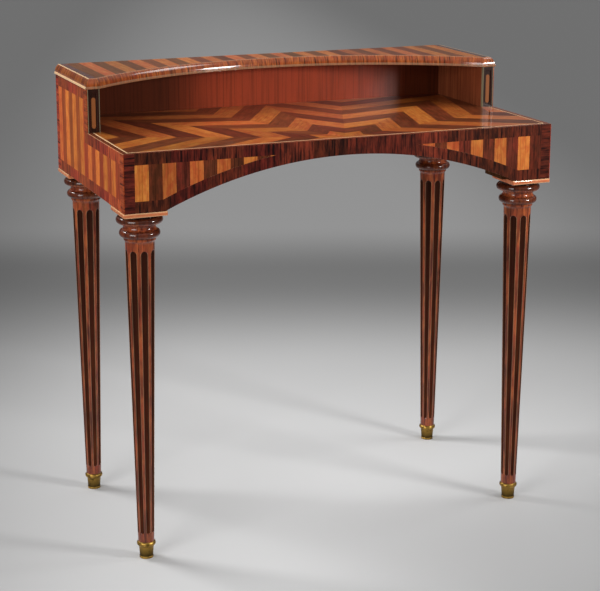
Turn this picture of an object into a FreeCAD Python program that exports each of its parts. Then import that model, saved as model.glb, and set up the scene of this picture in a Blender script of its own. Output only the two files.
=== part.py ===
import FreeCAD, Part
import math
import os

from FreeCAD import Vector

# Writing table on four turned legs, with an open gallery and a hollow-fronted shelf at the back.
# Millimetres, +X right, +Y to the back, +Z up, origin on the floor under the middle of the case.

# Case and gallery
case_width = 816.0  # over the veneer of both end panels
case_depth = 440.0  # front face to rear edge
writing_height = 742.0
apron_height = 102.0  # underside of the case to the writing surface
gallery_depth = 220.0  # front of the gallery to the rear edge
gallery_height = 78.0  # clear height under the shelf
arch_half_span = 336.0
arch_rise = 73.0

# Boards
veneer = 1.5
end_core = 22.5
apron_core = 20.5
back_thickness = 20.0
board_core = 16.0
gallery_panel_thickness = 12.0
pilaster_thickness = 6.0
edge_strip = 10.0  # wood left standing outside the rebate that takes the writing board
tongue_thickness = 8.0
tongue_length = 8.0
joint_clearance = 0.2
cut_overrun = 1.0

# Pilaster flutes
pilaster_flute_width = 11.0
pilaster_flute_depth = 2.0
pilaster_flute_margin = 8.0  # plain wood above and below the flute

# Shelf and its edge moulding
shelf_thickness = 18.0
shelf_overhang = 2.0
shelf_hollow = 146.0  # depth of the concave front
fillet_height = 4.0
fillet_step = 1.2
ovolo_inset = 7.2
moulding_flat = 2.0  # level top of the moulding, inside its arris

# Veneer patterns
border = 20.0
shelf_border = 12.0
front_strips = 32
end_strips = 16
shelf_strips = 32
star_points = 8
star_valley = 0.64  # how far out the valleys lie, as a share of the points
star_first = 36.2  # centre of the star to the edges of its first band
star_band = 40.35
stringing = 2.0

# Corner blocks, cleats and hidden fastenings
block_side = 64.0
cleat_height = 15.0
cleat_width = 15.0
dowel_radius = 4.0
dowel_length = 30.0
dowel_in_shelf = 12.0
dowel_end_margin = 40.0
screw_radius = 2.0
screw_head_radius = 4.0
screw_head_height = 2.5
screw_length = 24.0
screw_end_margin = 40.0

# Legs, from the floor up
leg_side_inset = 40.0  # axis to the outer face of the end
leg_front_inset = 45.0  # axis to the front face, and to the rear edge at the back
plate_proud = 1.0  # plate past the faces of the case
plate_thickness = 8.0
plate_width = 78.0
plate_depth = 80.0
pintle_radius = 11.0
pintle_depth = 60.0  # into the corner block
shaft_top_radius = 25.5
shaft_foot_radius = 14.5
neck_drop = 54.0  # underside of the plate to the top of the plain shaft
cap_radius = 33.0
cap_height = 5.5
upper_ring_radius = 40.5
upper_ring_height = 12.0
throat_radius = 28.0
throat_height = 11.0
lower_ring_radius = 35.5
lower_ring_height = 13.0
ring_root_radius = 31.0
collar_radius = 28.0
collar_height = 5.0
cove_bow = 1.0  # how far the cove under the collar bows in from its chord
flute_count = 8
flute_top_drop = 63.0  # underside of the plate to the head of the flutes
flute_foot = 48.0
flute_top_width_radius = 7.0
flute_foot_width_radius = 4.2
flute_top_depth = 3.6
flute_foot_depth = 2.4

# Brass sabots
sabot_height = 32.0
sabot_floor = 6.0
sabot_base_radius = 11.9
sabot_shoulder_radius = 13.8
sabot_ring_radius = 17.0
sabot_ring_height = 9.0
sabot_foot_bead = 0.6
sabot_foot_height = 4.0
spigot_radius = 9.0

# Places worked out from the sizes above
half_width = case_width / 2
half_depth = case_depth / 2
end_outer = half_width - veneer
end_inner = end_outer - end_core
apron_front = veneer - half_depth
apron_inner = apron_front + apron_core
back_inner = half_depth - back_thickness
gallery_panel_front = back_inner - gallery_panel_thickness
gallery_front = half_depth - gallery_depth
case_underside = writing_height - apron_height
gallery_top = writing_height + gallery_height
board_top = writing_height - veneer
rebate_floor = board_top - board_core
rebate_side = half_width - edge_strip
rebate_front = edge_strip - half_depth
tall_front = gallery_front + pilaster_thickness
arch_radius = (arch_half_span**2 + arch_rise**2) / (2 * arch_rise)
arch_centre = case_underside + arch_rise - arch_radius

shelf_top = gallery_top + shelf_thickness
shelf_half_width = half_width + shelf_overhang
shelf_front = gallery_front - shelf_overhang
moulding_arris = fillet_step + ovolo_inset
moulding_width = moulding_arris + moulding_flat
hollow_radius = (end_inner**2 + shelf_hollow**2) / (2 * shelf_hollow)
hollow_centre = shelf_front + shelf_hollow - hollow_radius
shelf_core_top = shelf_top - veneer
star_step = math.pi / star_points
star_edge = math.sqrt(1 + star_valley**2 - 2 * star_valley * math.cos(star_step))

plate_underside = case_underside - plate_thickness
leg_x = half_width - leg_side_inset
leg_y = half_depth - leg_front_inset
pintle_bore = pintle_radius + joint_clearance
shaft_top = plate_underside - neck_drop

far = 2 * (case_width + case_depth + writing_height)  # past every face
everywhere = (-far, far)

SIDES = {"left": -1, "right": 1}
ROWS = {"front": -1, "rear": 1}


def block(x, y, z):
    """A box from three (low, high) pairs."""
    size = [high - low for low, high in (x, y, z)]
    return Part.makeBox(*size, Vector(x[0], y[0], z[0]))


def rod(radius, length, base, along=Vector(0, 0, 1)):
    return Part.makeCylinder(radius, length, base, along)


def loop_face(edges):
    return Part.Face(Part.Wire(Part.__sortEdges__([edge.toShape() for edge in edges])))


def lines(points):
    return [Part.LineSegment(a, b) for a, b in zip(points, points[1:])]


def prism(outline, z_low, z_high):
    """An upright prism on a closed outline of (x, y) points."""
    corners = [Vector(x, y, z_low) for x, y in outline]
    face = Part.Face(Part.makePolygon(corners + corners[:1]))
    return face.extrude(Vector(0, 0, z_high - z_low))


def turned(edges):
    """A turning about the Z axis from half-profile edges that start and end on the axis."""
    return loop_face(edges).revolve(Vector(0, 0, 0), Vector(0, 0, 1), 360)


def mirrored(shape, side):
    """A left-hand shape as it is, or its mirror image for the right hand."""
    if side < 0:
        return shape
    return shape.mirror(Vector(0, 0, 0), Vector(1, 0, 0))


def group(shapes):
    return Part.makeCompound([solid for shape in shapes for solid in shape.Solids])


def split_strips(field, along, low, high, count, first_is_light):
    """Cuts a veneer field into equal upright strips, and returns the light ones and the dark ones."""
    width = (high - low) / count
    sets = {True: [], False: []}
    for k in range(count):
        edges = (low + k * width, low + (k + 1) * width)
        strip = block(*(edges if axis == along else everywhere for axis in "xyz"))
        sets[(k % 2 == 0) == first_is_light].append(field.common(strip))
    return group(sets[True]), group(sets[False])


# Case boards


def left_end_outline(x, front_low, front_tall, height_low, height_tall, underside, rear):
    """The L-shaped outline of an end: low in front, tall behind, as a solid between two x values."""
    low = block(x, (front_low, rear), (underside, height_low))
    tall = block(x, (front_tall, rear), (underside, height_tall))
    return low.fuse(tall).removeSplitter()


def apron_tongue(growth):
    """The tongue on the left end of the apron, or with growth the groove for it."""
    middle = (apron_front + apron_inner) / 2
    half = tongue_thickness / 2 + growth
    x = (-end_inner - tongue_length - growth, -end_inner)
    return block(x, (middle - half, middle + half), (case_underside, rebate_floor))


def back_tongue(growth):
    middle = back_inner + back_thickness / 2
    half = tongue_thickness / 2 + growth
    x = (-end_inner - tongue_length - growth, -end_inner)
    return block(x, (middle - half, middle + half), (case_underside, gallery_top))


def dowel_places():
    """Shelf dowels: two over each end panel and two over the back board."""
    middle_of_end = (end_inner + shelf_half_width - moulding_width) / 2
    rear = half_depth - dowel_end_margin
    front = tall_front + dowel_end_margin
    on_ends = [(side * middle_of_end, y) for side in SIDES.values() for y in (front, rear)]
    middle_of_back = back_inner + back_thickness / 2
    return on_ends + [(side * end_inner / 2, middle_of_back) for side in SIDES.values()]


def dowel_rods(growth):
    """The shelf dowels, or with growth the holes for them."""
    low = gallery_top + dowel_in_shelf - dowel_length - growth
    height = dowel_length + 2 * growth
    return [rod(dowel_radius + growth, height, Vector(x, y, low)) for x, y in dowel_places()]


def left_end():
    panel = left_end_outline(
        (-end_outer, -end_inner),
        apron_front,
        tall_front,
        writing_height,
        gallery_top,
        case_underside,
        half_depth,
    )
    rebate = block(
        (-rebate_side, -end_inner),
        (rebate_front, tall_front),
        (rebate_floor, writing_height + cut_overrun),
    )
    cuts = [rebate, apron_tongue(joint_clearance), back_tongue(joint_clearance)]
    return panel.cut(cuts + dowel_rods(joint_clearance))


def front_apron():
    board = block(
        (-end_inner, end_inner), (apron_front, apron_inner), (case_underside, writing_height)
    )
    rebate = block(
        (-end_inner, end_inner),
        (rebate_front, apron_inner),
        (rebate_floor, writing_height + cut_overrun),
    )
    arch = rod(
        arch_radius,
        apron_core + 2 * cut_overrun,
        Vector(0, apron_front - cut_overrun, arch_centre),
        Vector(0, 1, 0),
    )
    tongues = [mirrored(apron_tongue(0), side) for side in SIDES.values()]
    return board.cut([rebate, arch]).fuse(tongues).removeSplitter()


def back_board():
    board = block(
        (-end_inner, end_inner), (back_inner, half_depth), (case_underside, gallery_top)
    )
    tongues = [mirrored(back_tongue(0), side) for side in SIDES.values()]
    return board.fuse(tongues).removeSplitter().cut(dowel_rods(joint_clearance))


def writing_board_outline(z_low, z_high, rear):
    """The inset writing board in plan: wide in front, notched to pass between the gallery's ends."""
    wide = rebate_side - joint_clearance
    narrow = end_inner - joint_clearance
    front = rebate_front + joint_clearance
    notch = tall_front - joint_clearance
    right = [(wide, front), (wide, notch), (narrow, notch), (narrow, rear)]
    left = [(-x, y) for x, y in reversed(right)]
    return prism(right + left, z_low, z_high)


def writing_board():
    board = writing_board_outline(rebate_floor, board_top, back_inner)
    return board.cut([screw_solid(x, y, joint_clearance) for x, y in screw_places()])


def gallery_panel():
    half = end_inner - joint_clearance
    return block((-half, half), (gallery_panel_front, back_inner), (board_top, gallery_top))


def left_pilaster():
    strip = block(
        (-end_outer, -end_inner),
        (gallery_front, tall_front),
        (writing_height, gallery_top),
    )
    middle = -(end_inner + end_outer) / 2
    half = pilaster_flute_width / 2
    flute = block(
        (middle - half, middle + half),
        (gallery_front, gallery_front + pilaster_flute_depth),
        (writing_height + pilaster_flute_margin, gallery_top - pilaster_flute_margin),
    )
    return strip.cut(flute)


# Cleats, corner blocks and screws under the writing board


def block_span(inner_face, outward):
    """A corner block's reach from the face that it is glued to, as a (low, high) pair."""
    return tuple(sorted((inner_face, inner_face - outward * block_side)))


def corner_block(side, row):
    y = block_span(apron_inner if row < 0 else back_inner, row)
    solid = block(block_span(side * end_inner, side), y, (case_underside, rebate_floor))
    base = Vector(side * leg_x, row * leg_y, case_underside - cut_overrun)
    return solid.cut(rod(pintle_bore, pintle_depth + cut_overrun + joint_clearance, base))


cleat_z = (rebate_floor - cleat_height, rebate_floor)
cleat_y = (apron_inner + block_side, back_inner - block_side)
rear_cleat_half = end_inner - block_side


def screw_places():
    """Screws up through the cleats: two in each side cleat and two in the rear one."""
    x = end_inner - cleat_width / 2
    ends = (cleat_y[0] + screw_end_margin, cleat_y[1] - screw_end_margin)
    on_sides = [(side * x, y) for side in SIDES.values() for y in ends]
    rear_x = rear_cleat_half - screw_end_margin
    return on_sides + [(side * rear_x, back_inner - cleat_width / 2) for side in SIDES.values()]


def screw_solid(x, y, growth):
    """A countersunk screw with its head in the underside of a cleat, or with growth its hole."""
    head = cleat_z[0]
    low, full = screw_radius + growth, screw_head_radius + growth
    cone = Part.makeCone(full, low, screw_head_height, Vector(x, y, head))
    shank = rod(low, screw_length + growth - screw_head_height, Vector(x, y, head + screw_head_height))
    return cone.fuse(shank)


def cleat(x, y):
    return block(x, y, cleat_z).cut([screw_solid(*place, joint_clearance) for place in screw_places()])


def left_cleat():
    return cleat((-end_inner, cleat_width - end_inner), cleat_y)


def rear_cleat():
    return cleat((-rear_cleat_half, rear_cleat_half), (back_inner - cleat_width, back_inner))


# Shelf and moulding


def shelf_edge(place):
    """The moulded edge from the foot of its fillet to its arris, through a map of inset and height."""
    fillet_top = gallery_top + fillet_height
    rise = shelf_top - fillet_top
    curve = (ovolo_inset**2 + rise**2) / (2 * ovolo_inset)
    half_turn = math.asin(rise / curve) / 2
    swell = fillet_step + curve * (1 - math.cos(half_turn))
    corners = [place(0, gallery_top), place(0, fillet_top), place(fillet_step, fillet_top)]
    on_curve = place(swell, fillet_top + curve * math.sin(half_turn))
    arris = place(moulding_arris, shelf_top)
    return lines(corners) + [Part.Arc(corners[-1], on_curve, arris)], corners[0], arris


def moulded_slab():
    """The whole shelf with its moulding, before the front is hollowed: straight edges on three sides."""
    low, high = gallery_top, shelf_top
    edge, foot, arris = shelf_edge(lambda inset, z: Vector(-shelf_half_width, shelf_front + inset, z))
    rear = [Vector(-shelf_half_width, half_depth, z) for z in (high, low)]
    front = loop_face(edge + lines([arris, *rear, foot])).extrude(Vector(2 * shelf_half_width, 0, 0))
    sections = []
    for side in SIDES.values():
        sections.append(
            shelf_edge(lambda inset, z: Vector(side * (shelf_half_width - inset), shelf_front, z))
        )
    (left, left_foot, left_arris), (right, right_foot, right_arris) = sections
    across = left + right + lines([left_arris, right_arris]) + lines([left_foot, right_foot])
    return front.common(loop_face(across).extrude(Vector(0, half_depth - shelf_front, 0)))


def hollow_cutter():
    """The round hollow of the shelf's front, with the moulding's profile as its rim."""
    rim, foot, arris = shelf_edge(lambda inset, z: Vector(hollow_radius + inset, 0, z))
    below = [Vector(foot.x, 0, foot.z - cut_overrun), Vector(0, 0, foot.z - cut_overrun)]
    above = [Vector(0, 0, arris.z + cut_overrun), Vector(arris.x, 0, arris.z + cut_overrun)]
    solid = turned(rim + lines([foot, *below, *above, arris]))
    solid.translate(Vector(0, hollow_centre, 0))
    return solid


def shelf_core(z_low, z_high):
    """The flat of the shelf inside its moulding, between two heights."""
    half = shelf_half_width - moulding_width
    slab = block((-half, half), (shelf_front + moulding_width, half_depth), (z_low, z_high))
    base = Vector(0, hollow_centre, z_low - cut_overrun)
    return slab.cut(rod(hollow_radius + moulding_width, z_high - z_low + 2 * cut_overrun, base))


def shelf_mouldings():
    """The mitred moulding as a left return, a right return and the hollow front length."""
    strip = moulded_slab().cut(hollow_cutter()).cut(shelf_core(gallery_top, shelf_top))
    reach = 2 * moulding_width
    x, y, rear = -shelf_half_width, shelf_front, half_depth + cut_overrun
    beside = [(x - reach, y - reach), (x + reach, y + reach), (x + reach, rear), (x - reach, rear)]
    left_side = prism(beside, gallery_top, shelf_top)
    sides = [mirrored(left_side, side) for side in SIDES.values()]
    return [strip.common(side) for side in sides] + [strip.cut(sides)]


# Veneers


def front_veneers():
    """Crossbanding round the apron's face, and the light and dark strips inside it."""
    depth = (-half_depth, apron_front)
    axis_foot = Vector(0, -half_depth - cut_overrun, arch_centre)
    arch_depth = veneer + 2 * cut_overrun
    arch = rod(arch_radius, arch_depth, axis_foot, Vector(0, 1, 0))
    banded_arch = rod(arch_radius + border, arch_depth, axis_foot, Vector(0, 1, 0))
    face = block((-end_outer, end_outer), depth, (case_underside, writing_height)).cut(arch)
    half = half_width - border
    height = (case_underside + border, writing_height - border)
    field = block((-half, half), depth, height).cut(banded_arch)
    light, dark = split_strips(field, "x", -half, half, front_strips, True)
    return face.cut(field), light, dark


def left_end_veneers():
    """Crossbanding round the L-shaped end, and the light and dark strips inside it."""
    x = (-half_width, -end_outer)
    face = left_end_outline(
        x, -half_depth, gallery_front, writing_height, gallery_top, case_underside, half_depth
    )
    low, high = border - half_depth, half_depth - border
    field = left_end_outline(
        x,
        low,
        gallery_front + border,
        writing_height - border,
        gallery_top - border,
        case_underside + border,
        high,
    )
    light, dark = split_strips(field, "y", low, high, end_strips, False)
    return face.cut(field), light, dark


def shelf_veneers():
    """End borders on the shelf's top, and the strips that run from front to back between them."""
    whole = shelf_core(shelf_core_top, shelf_top)
    half = shelf_half_width - moulding_width - shelf_border
    field = whole.common(block((-half, half), everywhere, everywhere))
    light, dark = split_strips(field, "x", -half, half, shelf_strips, False)
    return whole.cut(field), light, dark


def star_outline(level):
    """A star round the middle of the writing surface's front edge, its edges that far from the centre."""
    point_radius = level * star_edge / (star_valley * math.sin(star_step))
    outline = []
    for k in range(2 * star_points):
        radius = point_radius if k % 2 == 0 else point_radius * star_valley
        angle = k * star_step
        outline.append((radius * math.cos(angle), rebate_front + radius * math.sin(angle)))
    return outline


def star_veneers():
    """The writing surface's star: nested bands, light at the centre and then dark and light in turn."""
    field = writing_board_outline(board_top, writing_height, gallery_panel_front)
    inset = stringing + joint_clearance
    front = block(
        (inset - rebate_side, rebate_side - inset),
        (rebate_front + inset, gallery_panel_front),
        (board_top, writing_height),
    )
    field = field.common(front)
    corner_reach = math.hypot(rebate_side, gallery_panel_front - rebate_front)
    last_level = corner_reach * math.sin(star_step) / star_edge
    count = math.ceil((last_level - star_first) / star_band) + 1
    stars = [prism(star_outline(star_first + k * star_band), board_top, writing_height) for k in range(count)]
    bands = [field.common(stars[0])]
    for inner, outer in zip(stars, stars[1:]):
        bands.append(field.common(outer).cut(inner))
    return group(bands[::2]), group(bands[1::2])


def writing_stringing():
    """The pale line let in round the front and sides of the star field."""
    side, front = rebate_side - joint_clearance, rebate_front + joint_clearance
    rear = tall_front - joint_clearance
    outer = block((-side, side), (front, rear), (board_top, writing_height))
    inner = block(
        (stringing - side, side - stringing),
        (front + stringing, rear + cut_overrun),
        (board_top, writing_height),
    )
    return outer.cut(inner)


# Legs, plates and sabots


def bead(low_z, high_z, root, crown):
    """A half-round bead on a turning, from its lower root to its upper root."""
    middle = Vector(crown, 0, (low_z + high_z) / 2)
    return Part.Arc(Vector(root, 0, low_z), middle, Vector(root, 0, high_z))


def leg_profile():
    cap_low = plate_underside - cap_height
    upper_low = cap_low - upper_ring_height
    throat_low = upper_low - throat_height
    lower_low = throat_low - lower_ring_height
    collar_low = lower_low - collar_height
    spigot_end = sabot_floor + joint_clearance
    pintle_top = case_underside + pintle_depth
    cove = Vector((shaft_top_radius + collar_radius) / 2 - cove_bow, 0, (shaft_top + collar_low) / 2)
    foot = [
        Vector(0, 0, spigot_end),
        Vector(spigot_radius, 0, spigot_end),
        Vector(spigot_radius, 0, sabot_height),
        Vector(shaft_foot_radius, 0, sabot_height),
        Vector(shaft_top_radius, 0, shaft_top),
    ]
    collar = [
        Vector(collar_radius, 0, collar_low),
        Vector(collar_radius, 0, lower_low),
        Vector(ring_root_radius, 0, lower_low),
    ]
    throat_foot, throat_head = (Vector(ring_root_radius, 0, z) for z in (throat_low, upper_low))
    throat_middle = Vector(throat_radius, 0, (throat_low + upper_low) / 2)
    head = [
        Vector(ring_root_radius, 0, cap_low),
        Vector(cap_radius, 0, cap_low),
        Vector(cap_radius, 0, plate_underside),
        Vector(pintle_radius, 0, plate_underside),
        Vector(pintle_radius, 0, pintle_top),
        Vector(0, 0, pintle_top),
        foot[0],
    ]
    edges = lines(foot) + [Part.Arc(foot[-1], cove, collar[0])] + lines(collar)
    edges.append(bead(lower_low, throat_low, ring_root_radius, lower_ring_radius))
    edges.append(Part.Arc(throat_foot, throat_middle, throat_head))
    edges.append(bead(upper_low, cap_low, ring_root_radius, upper_ring_radius))
    return edges + lines(head)


def shaft_radius(z):
    share = (z - sabot_height) / (shaft_top - sabot_height)
    return shaft_foot_radius + share * (shaft_top_radius - shaft_foot_radius)


def flute_cutter():
    """A tapered, round-ended cutter that lies along the front of the shaft at its surface."""
    low_r, high_r = flute_foot_width_radius, flute_top_width_radius
    low_z = flute_foot + low_r
    high_z = plate_underside - flute_top_drop - high_r
    length = high_z - low_z
    lean = math.asin((high_r - low_r) / length)
    low_side = Vector(low_r * math.cos(lean), 0, -low_r * math.sin(lean))
    high_side = Vector(high_r * math.cos(lean), 0, length - high_r * math.sin(lean))
    low_tip, high_tip = Vector(0, 0, -low_r), Vector(0, 0, length + high_r)
    half_low, half_high = (math.pi / 2 - lean) / 2, (math.pi / 2 + lean) / 2
    low_middle = Vector(low_r * math.sin(half_low), 0, -low_r * math.cos(half_low))
    high_middle = Vector(high_r * math.sin(half_high), 0, length + high_r * math.cos(half_high))
    edges = [
        Part.Arc(low_tip, low_middle, low_side),
        Part.LineSegment(low_side, high_side),
        Part.Arc(high_side, high_middle, high_tip),
        Part.LineSegment(high_tip, low_tip),
    ]
    cutter = turned(edges)
    low_y = shaft_radius(low_z) + low_r - flute_foot_depth
    high_y = shaft_radius(high_z) + high_r - flute_top_depth
    tilt = math.degrees(math.atan2(high_y - low_y, length))
    cutter.rotate(Vector(0, 0, 0), Vector(1, 0, 0), tilt)
    cutter.translate(Vector(0, -low_y, low_z))
    return cutter


def leg():
    blank = turned(leg_profile())
    cutters = []
    for k in range(flute_count):
        cutter = flute_cutter()
        cutter.rotate(Vector(0, 0, 0), Vector(0, 0, 1), 360 * k / flute_count)
        cutters.append(cutter)
    return blank.cut(cutters)


def plate(side, row):
    """The plate on a leg, its outer edges just past the faces of the case."""
    outer_x, outer_y = half_width + plate_proud, half_depth + plate_proud
    x_range = tuple(sorted((side * outer_x, side * (outer_x - plate_width))))
    y_range = tuple(sorted((row * outer_y, row * (outer_y - plate_depth))))
    slab = block(x_range, y_range, (plate_underside, case_underside))
    base = Vector(side * leg_x, row * leg_y, plate_underside - cut_overrun)
    return slab.cut(rod(pintle_bore, plate_thickness + 2 * cut_overrun, base))


def sabot():
    ring_low = sabot_height - sabot_ring_height
    bead_radius = sabot_base_radius + sabot_foot_bead
    socket = spigot_radius + joint_clearance
    outside = [
        Vector(0, 0, 0),
        Vector(bead_radius, 0, 0),
        Vector(bead_radius, 0, sabot_foot_height),
        Vector(sabot_base_radius, 0, sabot_foot_height),
        Vector(sabot_shoulder_radius, 0, ring_low),
    ]
    inside = [
        Vector(sabot_shoulder_radius, 0, sabot_height),
        Vector(socket, 0, sabot_height),
        Vector(socket, 0, sabot_floor),
        Vector(0, 0, sabot_floor),
        Vector(0, 0, 0),
    ]
    ring = bead(ring_low, sabot_height, sabot_shoulder_radius, sabot_ring_radius)
    return turned(lines(outside) + [ring] + lines(inside))


# Assembly


def pairs():
    """Pieces that come as a left one and its mirror image on the right."""
    banding, light, dark = left_end_veneers()
    made = {
        "end": left_end(),
        "pilaster": left_pilaster(),
        "cleat": left_cleat(),
        "end_crossbanding": banding,
        "end_strips_light": light,
        "end_strips_dark": dark,
    }
    return {
        f"{hand}_{name}": mirrored(shape, side)
        for name, shape in made.items()
        for hand, side in SIDES.items()
    }


def corners():
    """The corner block, plate, leg and sabot at each corner."""
    made = {}
    shapes = {"leg": leg(), "sabot": sabot()}
    for row_name, row in ROWS.items():
        for hand, side in SIDES.items():
            corner = f"{row_name}_{hand}"
            made[f"{corner}_corner_block"] = corner_block(side, row)
            made[f"{corner}_plate"] = plate(side, row)
            for name, shape in shapes.items():
                placed = shape.copy()
                placed.translate(Vector(side * leg_x, row * leg_y, 0))
                made[f"{corner}_{name}"] = placed
    return made


def single_pieces():
    front_banding, front_light, front_dark = front_veneers()
    shelf_banding, shelf_light, shelf_dark = shelf_veneers()
    star_light, star_dark = star_veneers()
    left_moulding, right_moulding, front_moulding = shelf_mouldings()
    shelf = shelf_core(gallery_top, shelf_core_top).cut(dowel_rods(joint_clearance))
    return {
        "front_apron": front_apron(),
        "back_board": back_board(),
        "writing_board": writing_board(),
        "gallery_panel": gallery_panel(),
        "rear_cleat": rear_cleat(),
        "shelf_board": shelf,
        "shelf_left_moulding": left_moulding,
        "shelf_right_moulding": right_moulding,
        "shelf_front_moulding": front_moulding,
        "front_crossbanding": front_banding,
        "front_strips_light": front_light,
        "front_strips_dark": front_dark,
        "shelf_crossbanding": shelf_banding,
        "shelf_strips_light": shelf_light,
        "shelf_strips_dark": shelf_dark,
        "writing_star_light": star_light,
        "writing_star_dark": star_dark,
        "writing_stringing": writing_stringing(),
        "shelf_dowels": group(dowel_rods(0)),
        "cleat_screws": group([screw_solid(x, y, 0) for x, y in screw_places()]),
    }


os.makedirs("parts", exist_ok=True)
for name, shape in {**single_pieces(), **pairs(), **corners()}.items():
    shape.exportStep(f"parts/{name}.step")
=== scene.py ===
import math
from functools import partial

import bmesh
import bpy
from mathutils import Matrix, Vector
from mathutils.bvhtree import BVHTree


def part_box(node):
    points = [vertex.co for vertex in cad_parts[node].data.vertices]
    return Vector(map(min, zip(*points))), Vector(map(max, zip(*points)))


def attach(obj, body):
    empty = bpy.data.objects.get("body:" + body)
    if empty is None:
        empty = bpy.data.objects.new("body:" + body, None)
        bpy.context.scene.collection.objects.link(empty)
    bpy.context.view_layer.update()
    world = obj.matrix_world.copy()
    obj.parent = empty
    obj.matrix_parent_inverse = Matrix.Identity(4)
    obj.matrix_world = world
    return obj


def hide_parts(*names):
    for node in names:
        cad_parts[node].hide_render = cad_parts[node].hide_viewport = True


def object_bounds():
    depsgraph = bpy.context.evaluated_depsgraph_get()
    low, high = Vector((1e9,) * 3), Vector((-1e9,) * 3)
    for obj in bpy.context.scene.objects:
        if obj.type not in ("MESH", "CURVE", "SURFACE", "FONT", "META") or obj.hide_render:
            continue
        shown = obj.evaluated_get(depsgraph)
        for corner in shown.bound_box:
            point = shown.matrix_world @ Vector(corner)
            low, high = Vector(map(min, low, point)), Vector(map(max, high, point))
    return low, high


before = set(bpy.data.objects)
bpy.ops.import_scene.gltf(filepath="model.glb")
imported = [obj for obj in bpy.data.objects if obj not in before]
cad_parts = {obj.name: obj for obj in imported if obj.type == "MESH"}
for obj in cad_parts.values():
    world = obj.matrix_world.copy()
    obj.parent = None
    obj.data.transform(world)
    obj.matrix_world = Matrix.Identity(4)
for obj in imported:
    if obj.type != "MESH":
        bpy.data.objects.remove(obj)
cad_low, cad_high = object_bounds()

bl_info = {
    "name": "Parquetry Writing Table",
    "version": (1, 0, 0),
    "blender": (4, 5, 0),
    "location": "View3D > Sidebar > Writing Table",
    "description": "Dresses the frame of a writing table in veneers, turned legs and brass sabots",
    "category": "Add Mesh",
}

# Metres throughout, in the frame of the loaded model: +X right, +Y to the back, +Z up.
MM = 0.001
SIDES = {"left": -1, "right": 1}
CORNERS = [f"{row}_{hand}" for row in ("front", "rear") for hand in SIDES]
AXES = {"X": (1, 0, 0), "Y": (0, 1, 0), "Z": (0, 0, 1)}
TOUCHING = 0.06 * MM  # surfaces closer than this touch
WELD = 0.002 * MM  # points closer than this are one
SEAM = 0.005 * MM  # widest seam of a turning that is sewn up
FIT = 0.2 * MM  # play between a spigot and its socket
LEAF_STRIDE = 37.0  # keeps the leaves of one island apart from those of the next
SOFT = "SMOOTHSTEP"
ARRIS_SHARE = 0.7  # where a flute's arris falls between its own middle and the middle of a land
STAINED = 0.5  # stain from which a flute counts as dull
PHOTO_WIDTH, PHOTO_HEIGHT = 600, 591
SENSOR_WIDTH = 36
AIM = (-0.0265, 0, 0.5283)


def linear(code):
    """An sRGB hex colour as linear red, green, blue and alpha."""
    shares = [int(code[k : k + 2], 16) / 255 for k in (1, 3, 5)]
    return (*(s / 12.92 if s <= 0.04045 else ((s + 0.055) / 1.055) ** 2.4 for s in shares), 1.0)


def number(name, value, description, **settings):
    return bpy.props.FloatProperty(name=name, description=description, default=value, **settings)


def length(name, millimetres, description):
    return number(name, millimetres * MM, description, unit="LENGTH", min=0, precision=4)


def power(name, watts, description):
    return number(name, watts, description, unit="POWER", min=0)


def count(name, value, least, description):
    return bpy.props.IntProperty(name=name, description=description, default=value, min=least)


def colour(name, code, description):
    return bpy.props.FloatVectorProperty(
        name=name, description=description, default=linear(code), subtype="COLOR", size=4, min=0, max=1
    )


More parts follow.
